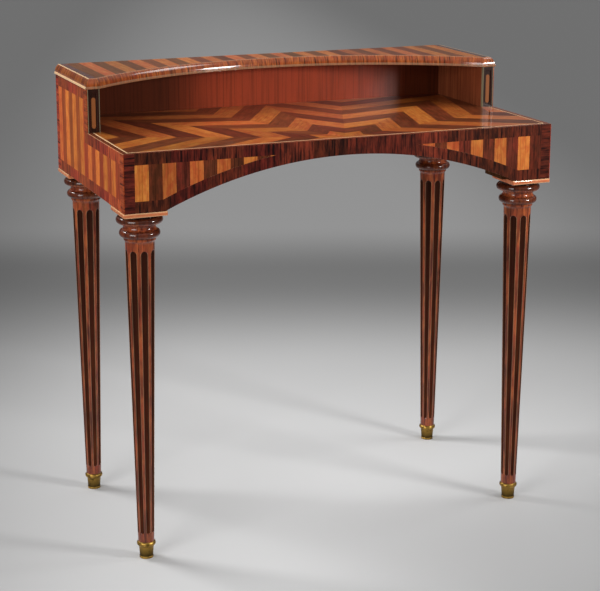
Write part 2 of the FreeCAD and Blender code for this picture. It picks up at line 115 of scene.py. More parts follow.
class TableSizes(bpy.types.PropertyGroup):
    """Sizes of the pieces that are made here rather than carried over."""

    ease: length("Arris Easing", 0.9, "How far free edges of boards and veneers are rounded over")
    plate_ease: length("Plate Easing", 2.2, "How far the edges of the corner plates are rounded over")
    pilaster_ease: length("Pilaster Easing", 0.8, "How far the edges of the pilasters are rounded over")
    cap_radius: length("Cap Radius", 33, "Radius of the flat cap at the head of a leg")
    cap_height: length("Cap Height", 5.5, "Height of the cap")
    upper_ring_radius: length("Upper Ring Radius", 40.5, "Crown of the upper ring")
    upper_ring_height: length("Upper Ring Height", 12, "Height of the upper ring")
    throat_radius: length("Throat Radius", 28, "Narrowest radius between the rings")
    throat_height: length("Throat Height", 11, "Height of the throat")
    lower_ring_radius: length("Lower Ring Radius", 35.5, "Crown of the lower ring")
    lower_ring_height: length("Lower Ring Height", 13, "Height of the lower ring")
    ring_root_radius: length("Ring Root Radius", 31, "Radius where the rings meet the throat")
    collar_radius: length("Collar Radius", 28, "Radius of the thin collar under the rings")
    collar_height: length("Collar Height", 5, "Height of the collar")
    neck_drop: length("Neck Drop", 54, "Underside of the plate to the top of the plain shaft")
    shaft_top_radius: length("Shaft Top Radius", 25.5, "Radius of the shaft at its head")
    shaft_foot_radius: length("Shaft Foot Radius", 14.5, "Radius of the shaft above its sabot")
    pintle_radius: length("Pintle Radius", 11, "Radius of the round tenon in the corner block")
    pintle_depth: length("Pintle Depth", 60, "Length of the round tenon in the corner block")
    spigot_radius: length("Spigot Radius", 9, "Radius of the tenon in the sabot")
    flute_count: count("Flutes", 8, 1, "Flutes round each leg")
    flute_top_drop: length("Flute Top Drop", 63, "Underside of the plate to the heads of the flutes")
    flute_foot: length("Flute Foot", 48, "Floor to the feet of the flutes")
    flute_top_round: length("Flute Top Round", 7, "Radius of the cutter at the heads")
    flute_foot_round: length("Flute Foot Round", 4.2, "Radius of the cutter at the feet")
    flute_top_depth: length("Flute Top Depth", 3.6, "Depth of the flutes at their heads")
    flute_foot_depth: length("Flute Foot Depth", 2.4, "Depth of the flutes at their feet")
    sabot_floor: length("Sabot Floor", 6, "Thickness of brass under the leg")
    sabot_ring_height: length("Sabot Ring Height", 9, "Height of the ring at the top of the sabot")
    sabot_shoulder_radius: length("Sabot Shoulder", 13.8, "Radius of the sabot under its ring")
    sabot_base_radius: length("Sabot Base", 11.9, "Radius of the sabot above its foot bead")
    sabot_foot_height: length("Sabot Foot Bead", 4, "Height of the bead that stands on the floor")
    sabot_foot_bead: length("Sabot Bead Step", 0.6, "How far the foot bead stands proud")
    fillet_height: length("Moulding Fillet", 4, "Height of the fillet at the foot of the shelf moulding")
    fillet_step: length("Moulding Step", 1.2, "Step from the fillet back to the ovolo")
    ovolo_inset: length("Ovolo Inset", 7.2, "How far the ovolo leans back to its arris")
    moulding_flat: length("Moulding Flat", 2, "Level top of the moulding inside its arris")
    shelf_hollow: length("Shelf Hollow", 146, "Depth of the concave front of the shelf")
    star_points: count("Star Points", 8, 3, "Points of the star")
    star_valley: number("Star Valley", 0.64, "Where its valleys lie, as a share of its points", min=0.1)
    banding_width: length("Banding Width", 20, "Width of the crossbanding")
    banding_piece: length("Banding Piece", 65, "Length of one piece of crossbanding")
    pilaster_inlay: length("Pilaster Inlay", 8.5, "Width of the unstained middle of a pilaster")


class TableFinish(bpy.types.PropertyGroup):
    """Colours of the woods and metals."""

    tulipwood: colour("Tulipwood", "#b4602a", "Light veneer of the strips and the star")
    tulipwood_streak: colour("Tulipwood Streak", "#7c3f18", "Darker growth lines in the light veneer")
    flush: colour("Flush", "#a03a22", "Pink-red clouds in the veneers")
    rosewood: colour("Rosewood", "#48200f", "Dark veneer of the front")
    rosewood_streak: colour("Rosewood Streak", "#200c06", "Black-brown lines in the dark veneer")
    level_rosewood: colour("Level Rosewood", "#562815", "Dark veneer of the star and the shelf")
    # Painted light: a lighter copy of the dark veneer for the brightly lit ends
    lit_end_rosewood: colour("Lit End Rosewood", "#8c3c1c", "Dark veneer of the ends, drawn lighter as painted light")
    kingwood: colour("Kingwood", "#3a140c", "Crossbanding")
    kingwood_streak: colour("Kingwood Streak", "#120504", "Near-black lines in the crossbanding")
    kingwood_light: colour("Kingwood Sapwood", "#682a1b", "Paler lines in the crossbanding")
    mahogany: colour("Mahogany", "#8a3c20", "Boards and gallery")
    mahogany_streak: colour("Mahogany Streak", "#4e2010", "Darker lines in the mahogany")
    turned: colour("Turned Mahogany", "#7c3e20", "Legs")
    ebony: colour("Ebonised Wood", "#2a130b", "Stained flutes, rings and pilasters, with painted shade in the flutes")
    boxwood: colour("Boxwood", "#e2b98c", "Stringing, and worn arrises with their painted highlights")
    deal: colour("Deal", "#4c2c18", "Glue blocks, cleats and other hidden work")
    brass: colour("Aged Brass", "#bc9448", "Sabots")
    brass_patina: colour("Brass Patina", "#40321a", "Tarnish in the hollows of the sabots")
    steel: colour("Steel", "#6b6660", "Screws")


class StageSettings(bpy.types.PropertyGroup):
    """Floor, lights and camera."""

    floor: colour("Floor", "#c6c6c6", "Pale paper under the table")
    floor_far: colour("Far Floor", "#949494", "The paper out of the light")
    ceiling: colour("Ceiling", "#c0c0c0", "Soft light from overhead")
    surround: colour("Surround", "#2c2c2c", "Dimmer light from the sides of the room")
    backdrop: colour("Backdrop", "#808080", "Light from the far wall, low behind the table")
    right_power: power("Right Power", 2.3, "High light on the right")
    back_power: power("Back Power", 6.2, "High light behind on the left")
    front_right_power: power("Front Right Power", 3.5, "Low light in front on the right")
    front_left_power: power("Front Left Power", 4.9, "Low light in front on the left")
    azimuth: number("Azimuth", math.radians(21.955), "Turn to the left of straight on", subtype="ANGLE")
    elevation: number("Elevation", math.radians(13.404), "Camera's height above level", subtype="ANGLE")
    distance: length("Distance", 3103.7, "Camera to the point that it is aimed at")
    target: bpy.props.FloatVectorProperty(
        name="Target", description="What the camera is aimed at", subtype="XYZ", default=AIM
    )
    lens: number("Lens", 98.6, "Focal length on a 36 mm sensor", unit="CAMERA", min=1)
    aim_x: number("Aim X", 286.9, "Where the aim point falls across the picture, in pixels")
    aim_y: number("Aim Y", 231.8, "Where the aim point falls down the picture, in pixels")


# Places read from the frame

writing_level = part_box("writing_star_light")[1].z
case_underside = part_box("front_left_plate")[1].z
plate_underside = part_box("front_left_plate")[0].z
sabot_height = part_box("front_left_sabot")[1].z
sabot_ring_radius = (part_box("front_left_sabot")[1].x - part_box("front_left_sabot")[0].x) / 2
end_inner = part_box("right_pilaster")[0].x
rear_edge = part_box("back_board")[1].y
shelf_low, shelf_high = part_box("shelf_front_moulding")
shelf_overhang = shelf_high.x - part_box("right_end_crossbanding")[1].x


def middle(node):
    low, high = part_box(node)
    return (low + high) / 2


# Nodes


def fill(tree, node, inputs):
    """Links sockets to a node's inputs, and sets its other inputs to constants."""
    for key, value in inputs.items():
        if isinstance(value, bpy.types.NodeSocket):
            tree.links.new(value, node.inputs[key])
        else:
            node.inputs[key].default_value = value


def add(tree, kind, inputs=None, **settings):
    """Adds a node with its settings and inputs."""
    node = tree.nodes.new(kind)
    for key, value in settings.items():
        setattr(node, key, value)
    fill(tree, node, inputs or {})
    return node


def maths(tree, operation, *values):
    return add(tree, "ShaderNodeMath", dict(enumerate(values)), operation=operation).outputs[0]


def vectors(tree, operation, *values):
    """A sum on vectors: a vector, or a number for a length or a dot product."""
    node = add(tree, "ShaderNodeVectorMath", dict(enumerate(values)), operation=operation)
    return node.outputs["Value" if operation in ("LENGTH", "DOT_PRODUCT") else "Vector"]


def ranged(tree, value, low, high, to_low=0.0, to_high=1.0, curve="LINEAR"):
    """A value carried from one range to another and held at its ends."""
    levels = {"Value": value, "From Min": low, "From Max": high, "To Min": to_low, "To Max": to_high}
    return add(tree, "ShaderNodeMapRange", levels, interpolation_type=curve).outputs[0]


def mixed(tree, share, first, second, blend="MIX"):
    inputs = {0: share, 6: first, 7: second}
    return add(tree, "ShaderNodeMix", inputs, data_type="RGBA", blend_type=blend).outputs[2]


def bump(tree, height, strength, distance):
    inputs = {"Height": height, "Strength": strength, "Distance": distance}
    return add(tree, "ShaderNodeBump", inputs).outputs[0]


def attribute(tree, name, output="Fac"):
    return add(tree, "ShaderNodeAttribute", attribute_name=name).outputs[output]


def object_place(tree):
    return add(tree, "ShaderNodeTexCoord").outputs["Object"]


def tree_with_inputs(name, sockets):
    """A new geometry tree with the given named inputs, and the sockets that bring them in."""
    tree = bpy.data.node_groups.new(name, "GeometryNodeTree")
    tree.interface.new_socket("Geometry", in_out="OUTPUT", socket_type="NodeSocketGeometry")
    for socket, kind in sockets.items():
        tree.interface.new_socket(socket, in_out="INPUT", socket_type=f"NodeSocket{kind}")
    return tree, add(tree, "NodeGroupInput").outputs


def close_tree(tree, geometry, material):
    """Ends a tree: real geometry with its material."""
    real = add(tree, "GeometryNodeRealizeInstances", {"Geometry": geometry})
    worn = add(tree, "GeometryNodeSetMaterial", {"Geometry": real.outputs[0], "Material": material})
    add(tree, "NodeGroupOutput", {"Geometry": worn.outputs[0]})


def stored(tree, geometry, name, value, kind="FLOAT", domain="POINT"):
    """Geometry with a field kept on it as a named attribute."""
    inputs = {"Geometry": geometry, "Name": name, "Value": value}
    node = add(tree, "GeometryNodeStoreNamedAttribute", inputs, data_type=kind, domain=domain)
    return node.outputs["Geometry"]


def named(tree, name, kind):
    """A field read from a named attribute."""
    return add(tree, "GeometryNodeInputNamedAttribute", {"Name": name}, data_type=kind).outputs[0]


def random_shift(tree, which, seed):
    """A shift of up to a metre each way, so that no two leaves show the same cut of the wood."""
    inputs = {0: (-1.0, -1.0, -1.0), 1: (1.0, 1.0, 1.0), "ID": which, "Seed": seed}
    return add(tree, "FunctionNodeRandomValue", inputs, data_type="FLOAT_VECTOR").outputs[0]


# Pieces


def new_object(name, mesh):
    piece = bpy.data.objects.new(name, mesh)
    bpy.context.scene.collection.objects.link(piece)
    return piece


def settle(piece, node):
    """Lets a finished piece stand for a node of the frame."""
    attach(piece, "root")
    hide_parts(node)
    return piece


def apply_tree(host, tree, values):
    """Adds a node tree to an object and fills the tree's named inputs."""
    modifier = host.modifiers.new(tree.name, "NODES")
    modifier.node_group = tree
    for item in tree.interface.items_tree:
        if item.in_out == "INPUT" and item.name in values:
            modifier[item.identifier] = values[item.name]


def bake(host):
    """Turns the object's evaluated shape into its plain mesh and removes the modifiers."""
    graph = bpy.context.evaluated_depsgraph_get()
    made = bpy.data.meshes.new_from_object(
        host.evaluated_get(graph), preserve_all_data_layers=True, depsgraph=graph
    )
    host.modifiers.clear()
    host.data = made
    if not made.polygons:
        raise RuntimeError(f"{host.name} came out empty")
    return made


def smooth(mesh, degrees):
    mesh.shade_smooth()
    mesh.set_sharp_from_angle(angle=math.radians(degrees))


def face_outwards(mesh):
    """Drops slivers and turns every face outwards."""
    shape = bmesh.new()
    shape.from_mesh(mesh)
    bmesh.ops.dissolve_degenerate(shape, edges=shape.edges, dist=WELD)
    bmesh.ops.recalc_face_normals(shape, faces=shape.faces)
    shape.to_mesh(mesh)
    shape.free()


# Veneer leaves: grain, tone and worn arrises, drawn pale for wearing and as a painted highlight, for
# boards and veneers


def veneer_tree():
    """Gives each leaf its own cut of the grain and its own tone, and marks the eased arrises as worn,
    their pale also a painted highlight.
    """
    sockets = {"Geometry": "Geometry", "Along": "Vector", "Across": "Vector", "Seed": "Int"}
    tree, given = tree_with_inputs("Veneer leaves", {**sockets, "Material": "Material"})
    island = add(tree, "GeometryNodeInputMeshIsland").outputs["Island Index"]
    leaf = maths(tree, "MULTIPLY_ADD", island, LEAF_STRIDE, named(tree, "leaf", "INT"))
    chance = {"ID": leaf, "Seed": given["Seed"]}
    tone = add(tree, "FunctionNodeRandomValue", chance, data_type="FLOAT").outputs[1]
    place = add(tree, "GeometryNodeInputPosition").outputs[0]
    along, across = given["Along"], given["Across"]
    depth = vectors(tree, "CROSS_PRODUCT", along, across)
    flat = [vectors(tree, "DOT_PRODUCT", place, axis) for axis in (along, across, depth)]
    laid = add(tree, "ShaderNodeCombineXYZ", dict(enumerate(flat))).outputs[0]
    back_turn = maths(tree, "MULTIPLY", named(tree, "turn", "FLOAT"), -1.0)
    turn = {"Vector": laid, "Angle": back_turn}
    turned = add(tree, "ShaderNodeVectorRotate", turn, rotation_type="Z_AXIS").outputs[0]
    grain = vectors(tree, "ADD", turned, random_shift(tree, leaf, given["Seed"]))
    eased = add(tree, "GeometryNodeInputMaterialIndex").outputs[0]
    facing = add(tree, "GeometryNodeInputNormal").outputs[0]
    lean = add(tree, "ShaderNodeSeparateXYZ", {0: facing}).outputs[2]
    # Level arrises count most: their pale is worn wood and also a painted highlight where the light
    # catches them
    arris = maths(tree, "MULTIPLY", eased, maths(tree, "ABSOLUTE", lean))
    geometry = stored(tree, given["Geometry"], "tone", tone, domain="FACE")
    geometry = stored(tree, geometry, "grain", grain, kind="FLOAT_VECTOR", domain="CORNER")
    geometry = stored(tree, geometry, "worn", arris, domain="FACE")
    close_tree(tree, geometry, given["Material"])
    return tree


def neighbour_trees(node):
    """Search trees of the frame's other nodes that come near a node."""
    low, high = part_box(node)
    found = []
    for other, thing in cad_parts.items():
        other_low, other_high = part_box(other)
        apart = any(other_low[k] > high[k] + MM or other_high[k] < low[k] - MM for k in range(3))
        if other != node and not apart:
            mesh = thing.data
            corners = [v.co for v in mesh.vertices]
            found.append(BVHTree.FromPolygons(corners, [p.vertices for p in mesh.polygons]))
    return found


def clean_copy(node, cuts):
    """A copy of a node's solid with its triangles joined to whole faces, then cut along planes."""
    shape = bmesh.new()
    shape.from_mesh(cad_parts[node].data)
    bmesh.ops.remove_doubles(shape, verts=shape.verts, dist=WELD)
    flat = math.radians(0.3)
    bmesh.ops.dissolve_limit(
        shape, angle_limit=flat, verts=shape.verts, edges=shape.edges, use_dissolve_boundaries=False
    )
    for point, normal in cuts:
        everything = [*shape.verts, *shape.edges, *shape.faces]
        bmesh.ops.bisect_plane(shape, geom=everything, dist=WELD, plane_co=point, plane_no=normal)
    return shape


def mark_free_arrises(shape, node):
    """Weights for rounding: every sharp outer edge that touches no neighbour."""
    weight = shape.edges.layers.float.new("bevel_weight_edge")
    neighbours = neighbour_trees(node)
    sharp = math.radians(30)
    for edge in shape.edges:
        if len(edge.link_faces) != 2 or edge.calc_face_angle_signed() < sharp:
            continue
        point = (edge.verts[0].co + edge.verts[1].co) / 2
        if all(tree.find_nearest(point, TOUCHING)[0] is None for tree in neighbours):
            edge[weight] = 1.0


def dress(node, finish, lie, seed, cuts=(), leaf_of=None, ease=None):
    """A board or leaves of veneer: the node's own solid, eased, its grain along the first axis given."""
    shape = clean_copy(node, cuts)
    mark_free_arrises(shape, node)
    turn = shape.faces.layers.float.new("turn")
    leaf = shape.faces.layers.int.new("leaf")
    if leaf_of:
        for face in shape.faces:
            face[turn], face[leaf] = leaf_of(face.calc_center_median())
    mesh = bpy.data.meshes.new(f"{node}_polished")
    shape.to_mesh(mesh)
    shape.free()
    if "custom_normal" in mesh.attributes:
        mesh.attributes.remove(mesh.attributes["custom_normal"])
    material = wood(finish)
    mesh.materials.append(material)
    mesh.materials.append(material)
    piece = new_object(f"{node}_polished", mesh)
    bevel = piece.modifiers.new("Arris", "BEVEL")
    bevel.width = ease or bpy.context.scene.table_sizes.ease
    bevel.segments = 2
    bevel.limit_method = "WEIGHT"
    bevel.material = 1
    bevel.use_clamp_overlap = True
    tree = bpy.data.node_groups.get("Veneer leaves") or veneer_tree()
    along, across = (AXES[axis] for axis in lie)
    apply_tree(piece, tree, {"Along": along, "Across": across, "Seed": seed, "Material": material})
    smooth(bake(piece), degrees=20)
    return settle(piece, node)


# Turnings


def turning_tree():
    """A grid wrapped round an upright axis to a half-profile, with tapered round-ended flutes cut in."""
    sizes = ("Low", "High", "Low Round", "High Round", "Low Depth", "High Depth", "Arris")
    sockets = {"Geometry": "Geometry", "Segments": "Int", "Flutes": "Int", **dict.fromkeys(sizes, "Float")}
    sockets |= {"Place": "Vector", "Seed": "Int", "Material": "Material"}
    tree, given = tree_with_inputs("Turning", sockets)
    sums, span = partial(maths, tree), partial(ranged, tree)
    low, high = given["Low"], given["High"]

    rows = add(tree, "GeometryNodeAttributeDomainSize", {0: given["Geometry"]}).outputs["Point Count"]
    columns = sums("ADD", given["Segments"], 1.0)
    grid = add(tree, "GeometryNodeMeshGrid", {"Vertices X": columns, "Vertices Y": rows}).outputs["Mesh"]
    index = add(tree, "GeometryNodeInputIndex").outputs[0]
    column = sums("FLOOR", sums("DIVIDE", sums("ADD", index, 0.5), rows))
    row = sums("SUBTRACT", index, sums("MULTIPLY", column, rows))

    def on_profile(value, kind):
        """A field of the half-profile, read at this point's row."""
        inputs = {"Geometry": given["Geometry"], "Value": value, "Index": row}
        return add(tree, "GeometryNodeSampleIndex", inputs, data_type=kind).outputs[0]

    place = on_profile(add(tree, "GeometryNodeInputPosition").outputs[0], "FLOAT_VECTOR")
    stained = on_profile(named(tree, "stain", "FLOAT"), "FLOAT")
    split = add(tree, "ShaderNodeSeparateXYZ", {0: place}).outputs
    radius, height = split[0], split[2]

    # Size of the cutter at this height, and how far the height lies past the flute's straight run
    ball = span(height, low, high, given["Low Round"], given["High Round"])
    depth = span(height, low, high, given["Low Depth"], given["High Depth"])
    past = sums("SUBTRACT", height, sums("MINIMUM", sums("MAXIMUM", height, low), high))
    lift = sums("SUBTRACT", ball, depth)
    half_chord = sums("SQRT", sums("SUBTRACT", sums("POWER", ball, 2.0), sums("POWER", lift, 2.0)))
    half_angle = sums("ARCSINE", sums("DIVIDE", half_chord, radius))

    # Columns are drawn together over the flutes, so that one runs along each arris
    period = sums("DIVIDE", math.tau, given["Flutes"])
    turns = sums("DIVIDE", sums("MULTIPLY", column, given["Flutes"]), given["Segments"])
    cell = sums("ROUND", turns)
    off = sums("SUBTRACT", turns, cell)
    share = sums("MULTIPLY", sums("ABSOLUTE", off), 2.0)
    rest = sums("SUBTRACT", sums("MULTIPLY", period, 0.5), half_angle)
    in_flute = span(share, 0.0, given["Arris"], 0.0, half_angle)
    on_land = span(share, given["Arris"], 1.0, 0.0, rest)
    aside = sums("ADD", in_flute, on_land)
    angle = sums("MULTIPLY_ADD", cell, period, sums("MULTIPLY", sums("SIGN", off), aside))

    # Depth of the cut: a ball drawn along the flute
    sideways = sums("MULTIPLY", radius, sums("SINE", aside))
    reach = sums("ADD", sums("POWER", sideways, 2.0), sums("POWER", past, 2.0))
    under = sums("MAXIMUM", sums("SUBTRACT", sums("POWER", ball, 2.0), reach), 0.0)
    sunk = sums("SUBTRACT", sums("SQRT", under), lift)
    eased_over = 0.5 * MM
    cut = sums("SMOOTH_MAX", sunk, 0.0, eased_over)
    left = sums("SUBTRACT", radius, cut)
    around = [sums("MULTIPLY", left, sums(turn, angle)) for turn in ("COSINE", "SINE")]
    local = add(tree, "ShaderNodeCombineXYZ", {0: around[0], 1: around[1], 2: height}).outputs[0]
    along = add(tree, "ShaderNodeCombineXYZ", {0: height, 1: around[0], 2: around[1]}).outputs[0]
    whole = add(tree, "FunctionNodeInputInt").outputs[0]
    grain = vectors(tree, "ADD", along, random_shift(tree, whole, given["Seed"]))

    # Stain in the cut, deeper towards the head, which also paints the shade in the flutes; and pale worn
    # arrises, which also paint their highlights
    foot_stain_and_shade, head_stain_and_shade = 0.8, 0.97
    shallow, deep = 0.1 * MM, 0.45 * MM
    rubbed_and_highlit_width = 0.16
    stain_and_shade_in_cut = span(cut, shallow, deep, 0.0, span(height, low, high, foot_stain_and_shade, head_stain_and_shade))
    from_arris = sums("ABSOLUTE", sums("SUBTRACT", share, given["Arris"]))
    cut_here = span(under, 0.0, sums("POWER", lift, 2.0))
    rubbed_and_highlit = sums("MULTIPLY", span(from_arris, 0.0, rubbed_and_highlit_width, 1.0, 0.0), span(depth, 0.0, MM))
    geometry = stored(tree, grid, "stain", sums("MAXIMUM", stain_and_shade_in_cut, stained))
    geometry = stored(tree, geometry, "worn", sums("MULTIPLY", rubbed_and_highlit, cut_here))
    geometry = stored(tree, geometry, "grain", grain, kind="FLOAT_VECTOR")
    moved = {"Geometry": geometry, "Position": vectors(tree, "ADD", local, given["Place"])}
    wrapped = add(tree, "GeometryNodeSetPosition", moved).outputs[0]
    sewn = add(tree, "GeometryNodeMergeByDistance", {"Geometry": wrapped, "Distance": SEAM}).outputs[0]
    close_tree(tree, sewn, given["Material"])
    return tree


def turn_piece(node, profile, material, seed, segments, hollow=None):
    """A turning from (radius, height, stain) points, fluted if a material for its hollows is given."""
    sizes = bpy.context.scene.table_sizes
    mesh = bpy.data.meshes.new(f"{node}_turned")
    mesh.from_pydata([(radius, 0, height) for radius, height, _ in profile], [], [])
    stain = mesh.attributes.new("stain", "FLOAT", "POINT")
    stain.data.foreach_set("value", [dark for _, _, dark in profile])
    piece = new_object(f"{node}_turned", mesh)
    axis = middle(node.rsplit("_", 1)[0] + "_sabot")
    flute_top = plate_underside - sizes.flute_top_drop
    values = {
        "Segments": segments,
        "Flutes": sizes.flute_count,
        "Low": sizes.flute_foot + sizes.flute_foot_round,
        "High": flute_top - sizes.flute_top_round,
        "Low Round": sizes.flute_foot_round,
        "High Round": sizes.flute_top_round,
        "Low Depth": sizes.flute_foot_depth if hollow else 0.0,
        "High Depth": sizes.flute_top_depth if hollow else 0.0,
        "Arris": ARRIS_SHARE,
        "Place": (axis.x, axis.y, 0.0),
        "Seed": seed,
        "Material": material,
    }
    apply_tree(piece, bpy.data.node_groups.get("Turning") or turning_tree(), values)
    made = bake(piece)
    face_outwards(made)
    smooth(made, degrees=32)
    if hollow:
        made.materials[0] = hollow
        stained = made.attributes["stain"].data
        for face in made.polygons:
            dark = min(stained[corner].value for corner in face.vertices)
            face.material_index = int(dark < STAINED or face.center.z > flute_top)
    return settle(piece, node)


def arc(start, end, bow, steps, stain=0.0):
    """Points after the first one on a circular arc between two profile points, bowed outwards or in."""
    (r0, z0), (r1, z1) = start, end
    chord = math.hypot(r1 - r0, z1 - z0)
    radius = (chord**2 / 4 + bow**2) / (2 * abs(bow))
    half = math.asin(min(1.0, chord / 2 / radius))
    if abs(bow) > chord / 2:
        half = math.pi - half
    out = ((z1 - z0) / chord, -(r1 - r0) / chord)
    way = ((r1 - r0) / chord, (z1 - z0) / chord)
    sign = math.copysign(1, bow)
    points = []
    for k in range(1, steps + 1):
        turn = -half + 2 * half * k / steps
        on = radius * math.sin(turn) + chord / 2
        rise = sign * (radius * math.cos(turn) - radius + abs(bow))
        points.append((r0 + way[0] * on + out[0] * rise, z0 + way[1] * on + out[1] * rise, stain))
    return points


def spread(start, end, size):
    """Evenly spaced values from the first to the last."""
    return [start + (end - start) * k / (size - 1) for k in range(size)]


def leg_profile(sizes):
    """Half-profile of a leg from the spigot in its sabot to the tenon in the corner block."""
    cap_low = plate_underside - sizes.cap_height
    upper_low = cap_low - sizes.upper_ring_height
    throat_low = upper_low - sizes.throat_height
    lower_low = throat_low - sizes.lower_ring_height
    collar_low = lower_low - sizes.collar_height
    shaft_top = plate_underside - sizes.neck_drop
    flute_top = plate_underside - sizes.flute_top_drop
    spigot_end = sizes.sabot_floor + FIT
    pintle_end = case_underside + sizes.pintle_depth
    fine = 0.8 * MM
    foot_rows = spread(sizes.flute_foot - fine, sizes.flute_foot + 2 * sizes.flute_foot_round, 14)
    head_rows = spread(flute_top - 2 * sizes.flute_top_round, flute_top + fine, 22)
    shaft_rows = [*foot_rows, *spread(foot_rows[-1], head_rows[0], 14)[1:-1], *head_rows, shaft_top]

    def shaft(z):
        share = (z - sabot_height) / (shaft_top - sabot_height)
        return sizes.shaft_foot_radius + share * (sizes.shaft_top_radius - sizes.shaft_foot_radius)

    root, less_stained_below = sizes.ring_root_radius, upper_low + 0.3 * sizes.upper_ring_height
    collar_stain, lower_stain, upper_stain, lower_rim_stain = 0.4, 0.65, 0.8, 0.2
    points = [(0, spigot_end, 0), (sizes.spigot_radius, spigot_end, 0)]
    points += [(sizes.spigot_radius, sabot_height, 0), (sizes.shaft_foot_radius, sabot_height, 0)]
    points += [(shaft(z), z, 0) for z in shaft_rows]
    points += arc((sizes.shaft_top_radius, shaft_top), (sizes.collar_radius, collar_low), -1 * MM, 6)
    points += [(sizes.collar_radius, lower_low, collar_stain), (root, lower_low, 1)]
    points += arc((root, lower_low), (root, throat_low), sizes.lower_ring_radius - root, 14, lower_stain)
    points += arc((root, throat_low), (root, upper_low), sizes.throat_radius - root, 10)
    # The lower part of the upper ring is stained less, so it shows lighter
    upper_ring = arc((root, upper_low), (root, cap_low), sizes.upper_ring_radius - root, 16, upper_stain)
    points += [(radius, z, lower_rim_stain if z < less_stained_below else dark) for radius, z, dark in upper_ring]
    points += [(sizes.cap_radius, cap_low, 1), (sizes.cap_radius, plate_underside, 1)]
    points += [(sizes.pintle_radius, plate_underside, 0), (sizes.pintle_radius, pintle_end, 0)]
    return points + [(0, pintle_end, 0)]


def sabot_profile(sizes):
    """Half-profile of a sabot, up its outside and down into its socket."""
    ring_low = sabot_height - sizes.sabot_ring_height
    bead = sizes.sabot_base_radius + sizes.sabot_foot_bead
    shoulder = sizes.sabot_shoulder_radius
    socket = sizes.spigot_radius + FIT
    ease = 0.4 * MM
    points = [(0, 0, 0), (bead - ease, 0, 0), (bead, ease, 0)]
    points += [(bead, sizes.sabot_foot_height - ease, 0), (bead - ease, sizes.sabot_foot_height, 0.6)]
    points += [(sizes.sabot_base_radius, sizes.sabot_foot_height + ease, 1)]
    points += [(shoulder - ease, ring_low - 2 * ease, 0.3), (shoulder, ring_low, 1)]
    points += arc((shoulder, ring_low), (shoulder, sabot_height), sabot_ring_radius - shoulder, 14)
    return points + [(socket, sabot_height, 1), (socket, sizes.sabot_floor, 1), (0, sizes.sabot_floor, 1)]


# Shelf moulding


def moulding_section(sizes):
    """The section of the shelf's edge as (inset, height) points, from its foot round to its inner side."""
    low, high = shelf_low.z, shelf_high.z
    fillet, step, ease = low + sizes.fillet_height, sizes.fillet_step, 0.5 * MM
    arris = step + sizes.ovolo_inset
    inner = arris + sizes.moulding_flat
    rise = high - fillet
    curve = (sizes.ovolo_inset**2 + rise**2) / (2 * sizes.ovolo_inset)
    whole = math.asin(rise / curve)
    section = [(ease, low), (0, low + ease), (0, fillet - ease), (ease, fillet), (step, fillet)]
    for turn in spread(0, whole, 15)[1:-1]:
        section.append((step + curve * (1 - math.cos(turn)), fillet + curve * math.sin(turn)))
    return section + [(arris - ease, high - ease), (arris + ease, high), (inner, high), (inner, low)]


def moulding_piece(node, section, rubbed_and_highlit, painted_shades, stations, seed):
    """A moulding swept along stations, each a function from the inset to a point in plan."""
    mesh = bpy.data.meshes.new(f"{node}_moulded")
    size = len(section)
    points = [(*station(inset), height) for station in stations for inset, height in section]
    faces = []
    for start in range(0, len(points) - size, size):
        for k in range(size):
            after = (k + 1) % size
            faces.append((start + k, start + after, start + size + after, start + size + k))
    faces.append(tuple(range(size)))
    faces.append(tuple(range(len(points) - size, len(points))))
    mesh.from_pydata(points, [], faces)
    face_outwards(mesh)
    travelled, up = [0.0], [0.0]
    for a, b in zip(stations, stations[1:]):
        travelled.append(travelled[-1] + math.dist(a(0), b(0)))
    for a, b in zip(section, section[1:]):
        up.append(up[-1] + math.dist(a, b))
    grain = mesh.attributes.new("grain", "FLOAT_VECTOR", "POINT")
    shift = (0.1 * seed, 0.7 * seed)
    flow = [(rise + shift[0], way + shift[1], 0.0) for way in travelled for rise in up]
    grain.data.foreach_set("vector", [value for point in flow for value in point])
    # The tone values carry painted shade on parts of the section
    for name, values in (("worn", rubbed_and_highlit), ("tone", painted_shades)):
        kept = mesh.attributes.new(name, "FLOAT", "POINT")
        kept.data.foreach_set("value", values * len(stations))
    mesh.materials.append(wood("Cross-grained moulding"))
    smooth(mesh, degrees=25)
    return settle(new_object(f"{node}_moulded", mesh), node)


# Materials


def new_material(name):
    material = bpy.data.materials.new(name)
    material.use_nodes = True
    return material, material.node_tree, material.node_tree.nodes["Principled BSDF"]


def shade(code):
    """A hex colour, or a colour of the finish by its name."""
    return linear(code) if code.startswith("#") else getattr(bpy.context.scene.table_finish, code)


def paint_gallery_end_shade(tree, colours):
    """Paints shade on the gallery's lining away from its middle, where the hollow shelf lets no light in.
    """
    reddest, red_reach, brown_from = 60 * MM, 150 * MM, 270 * MM
    across = add(tree, "ShaderNodeSeparateXYZ", {0: object_place(tree)}).outputs[0]
    apart = maths(tree, "ABSOLUTE", maths(tree, "SUBTRACT", across, reddest))
    shaded = ranged(tree, apart, red_reach, brown_from, curve=SOFT)
    # Painted shade: the lining is multiplied darker away from its middle
    return mixed(tree, shaded, colours, linear("#98aca4"), blend="MULTIPLY")


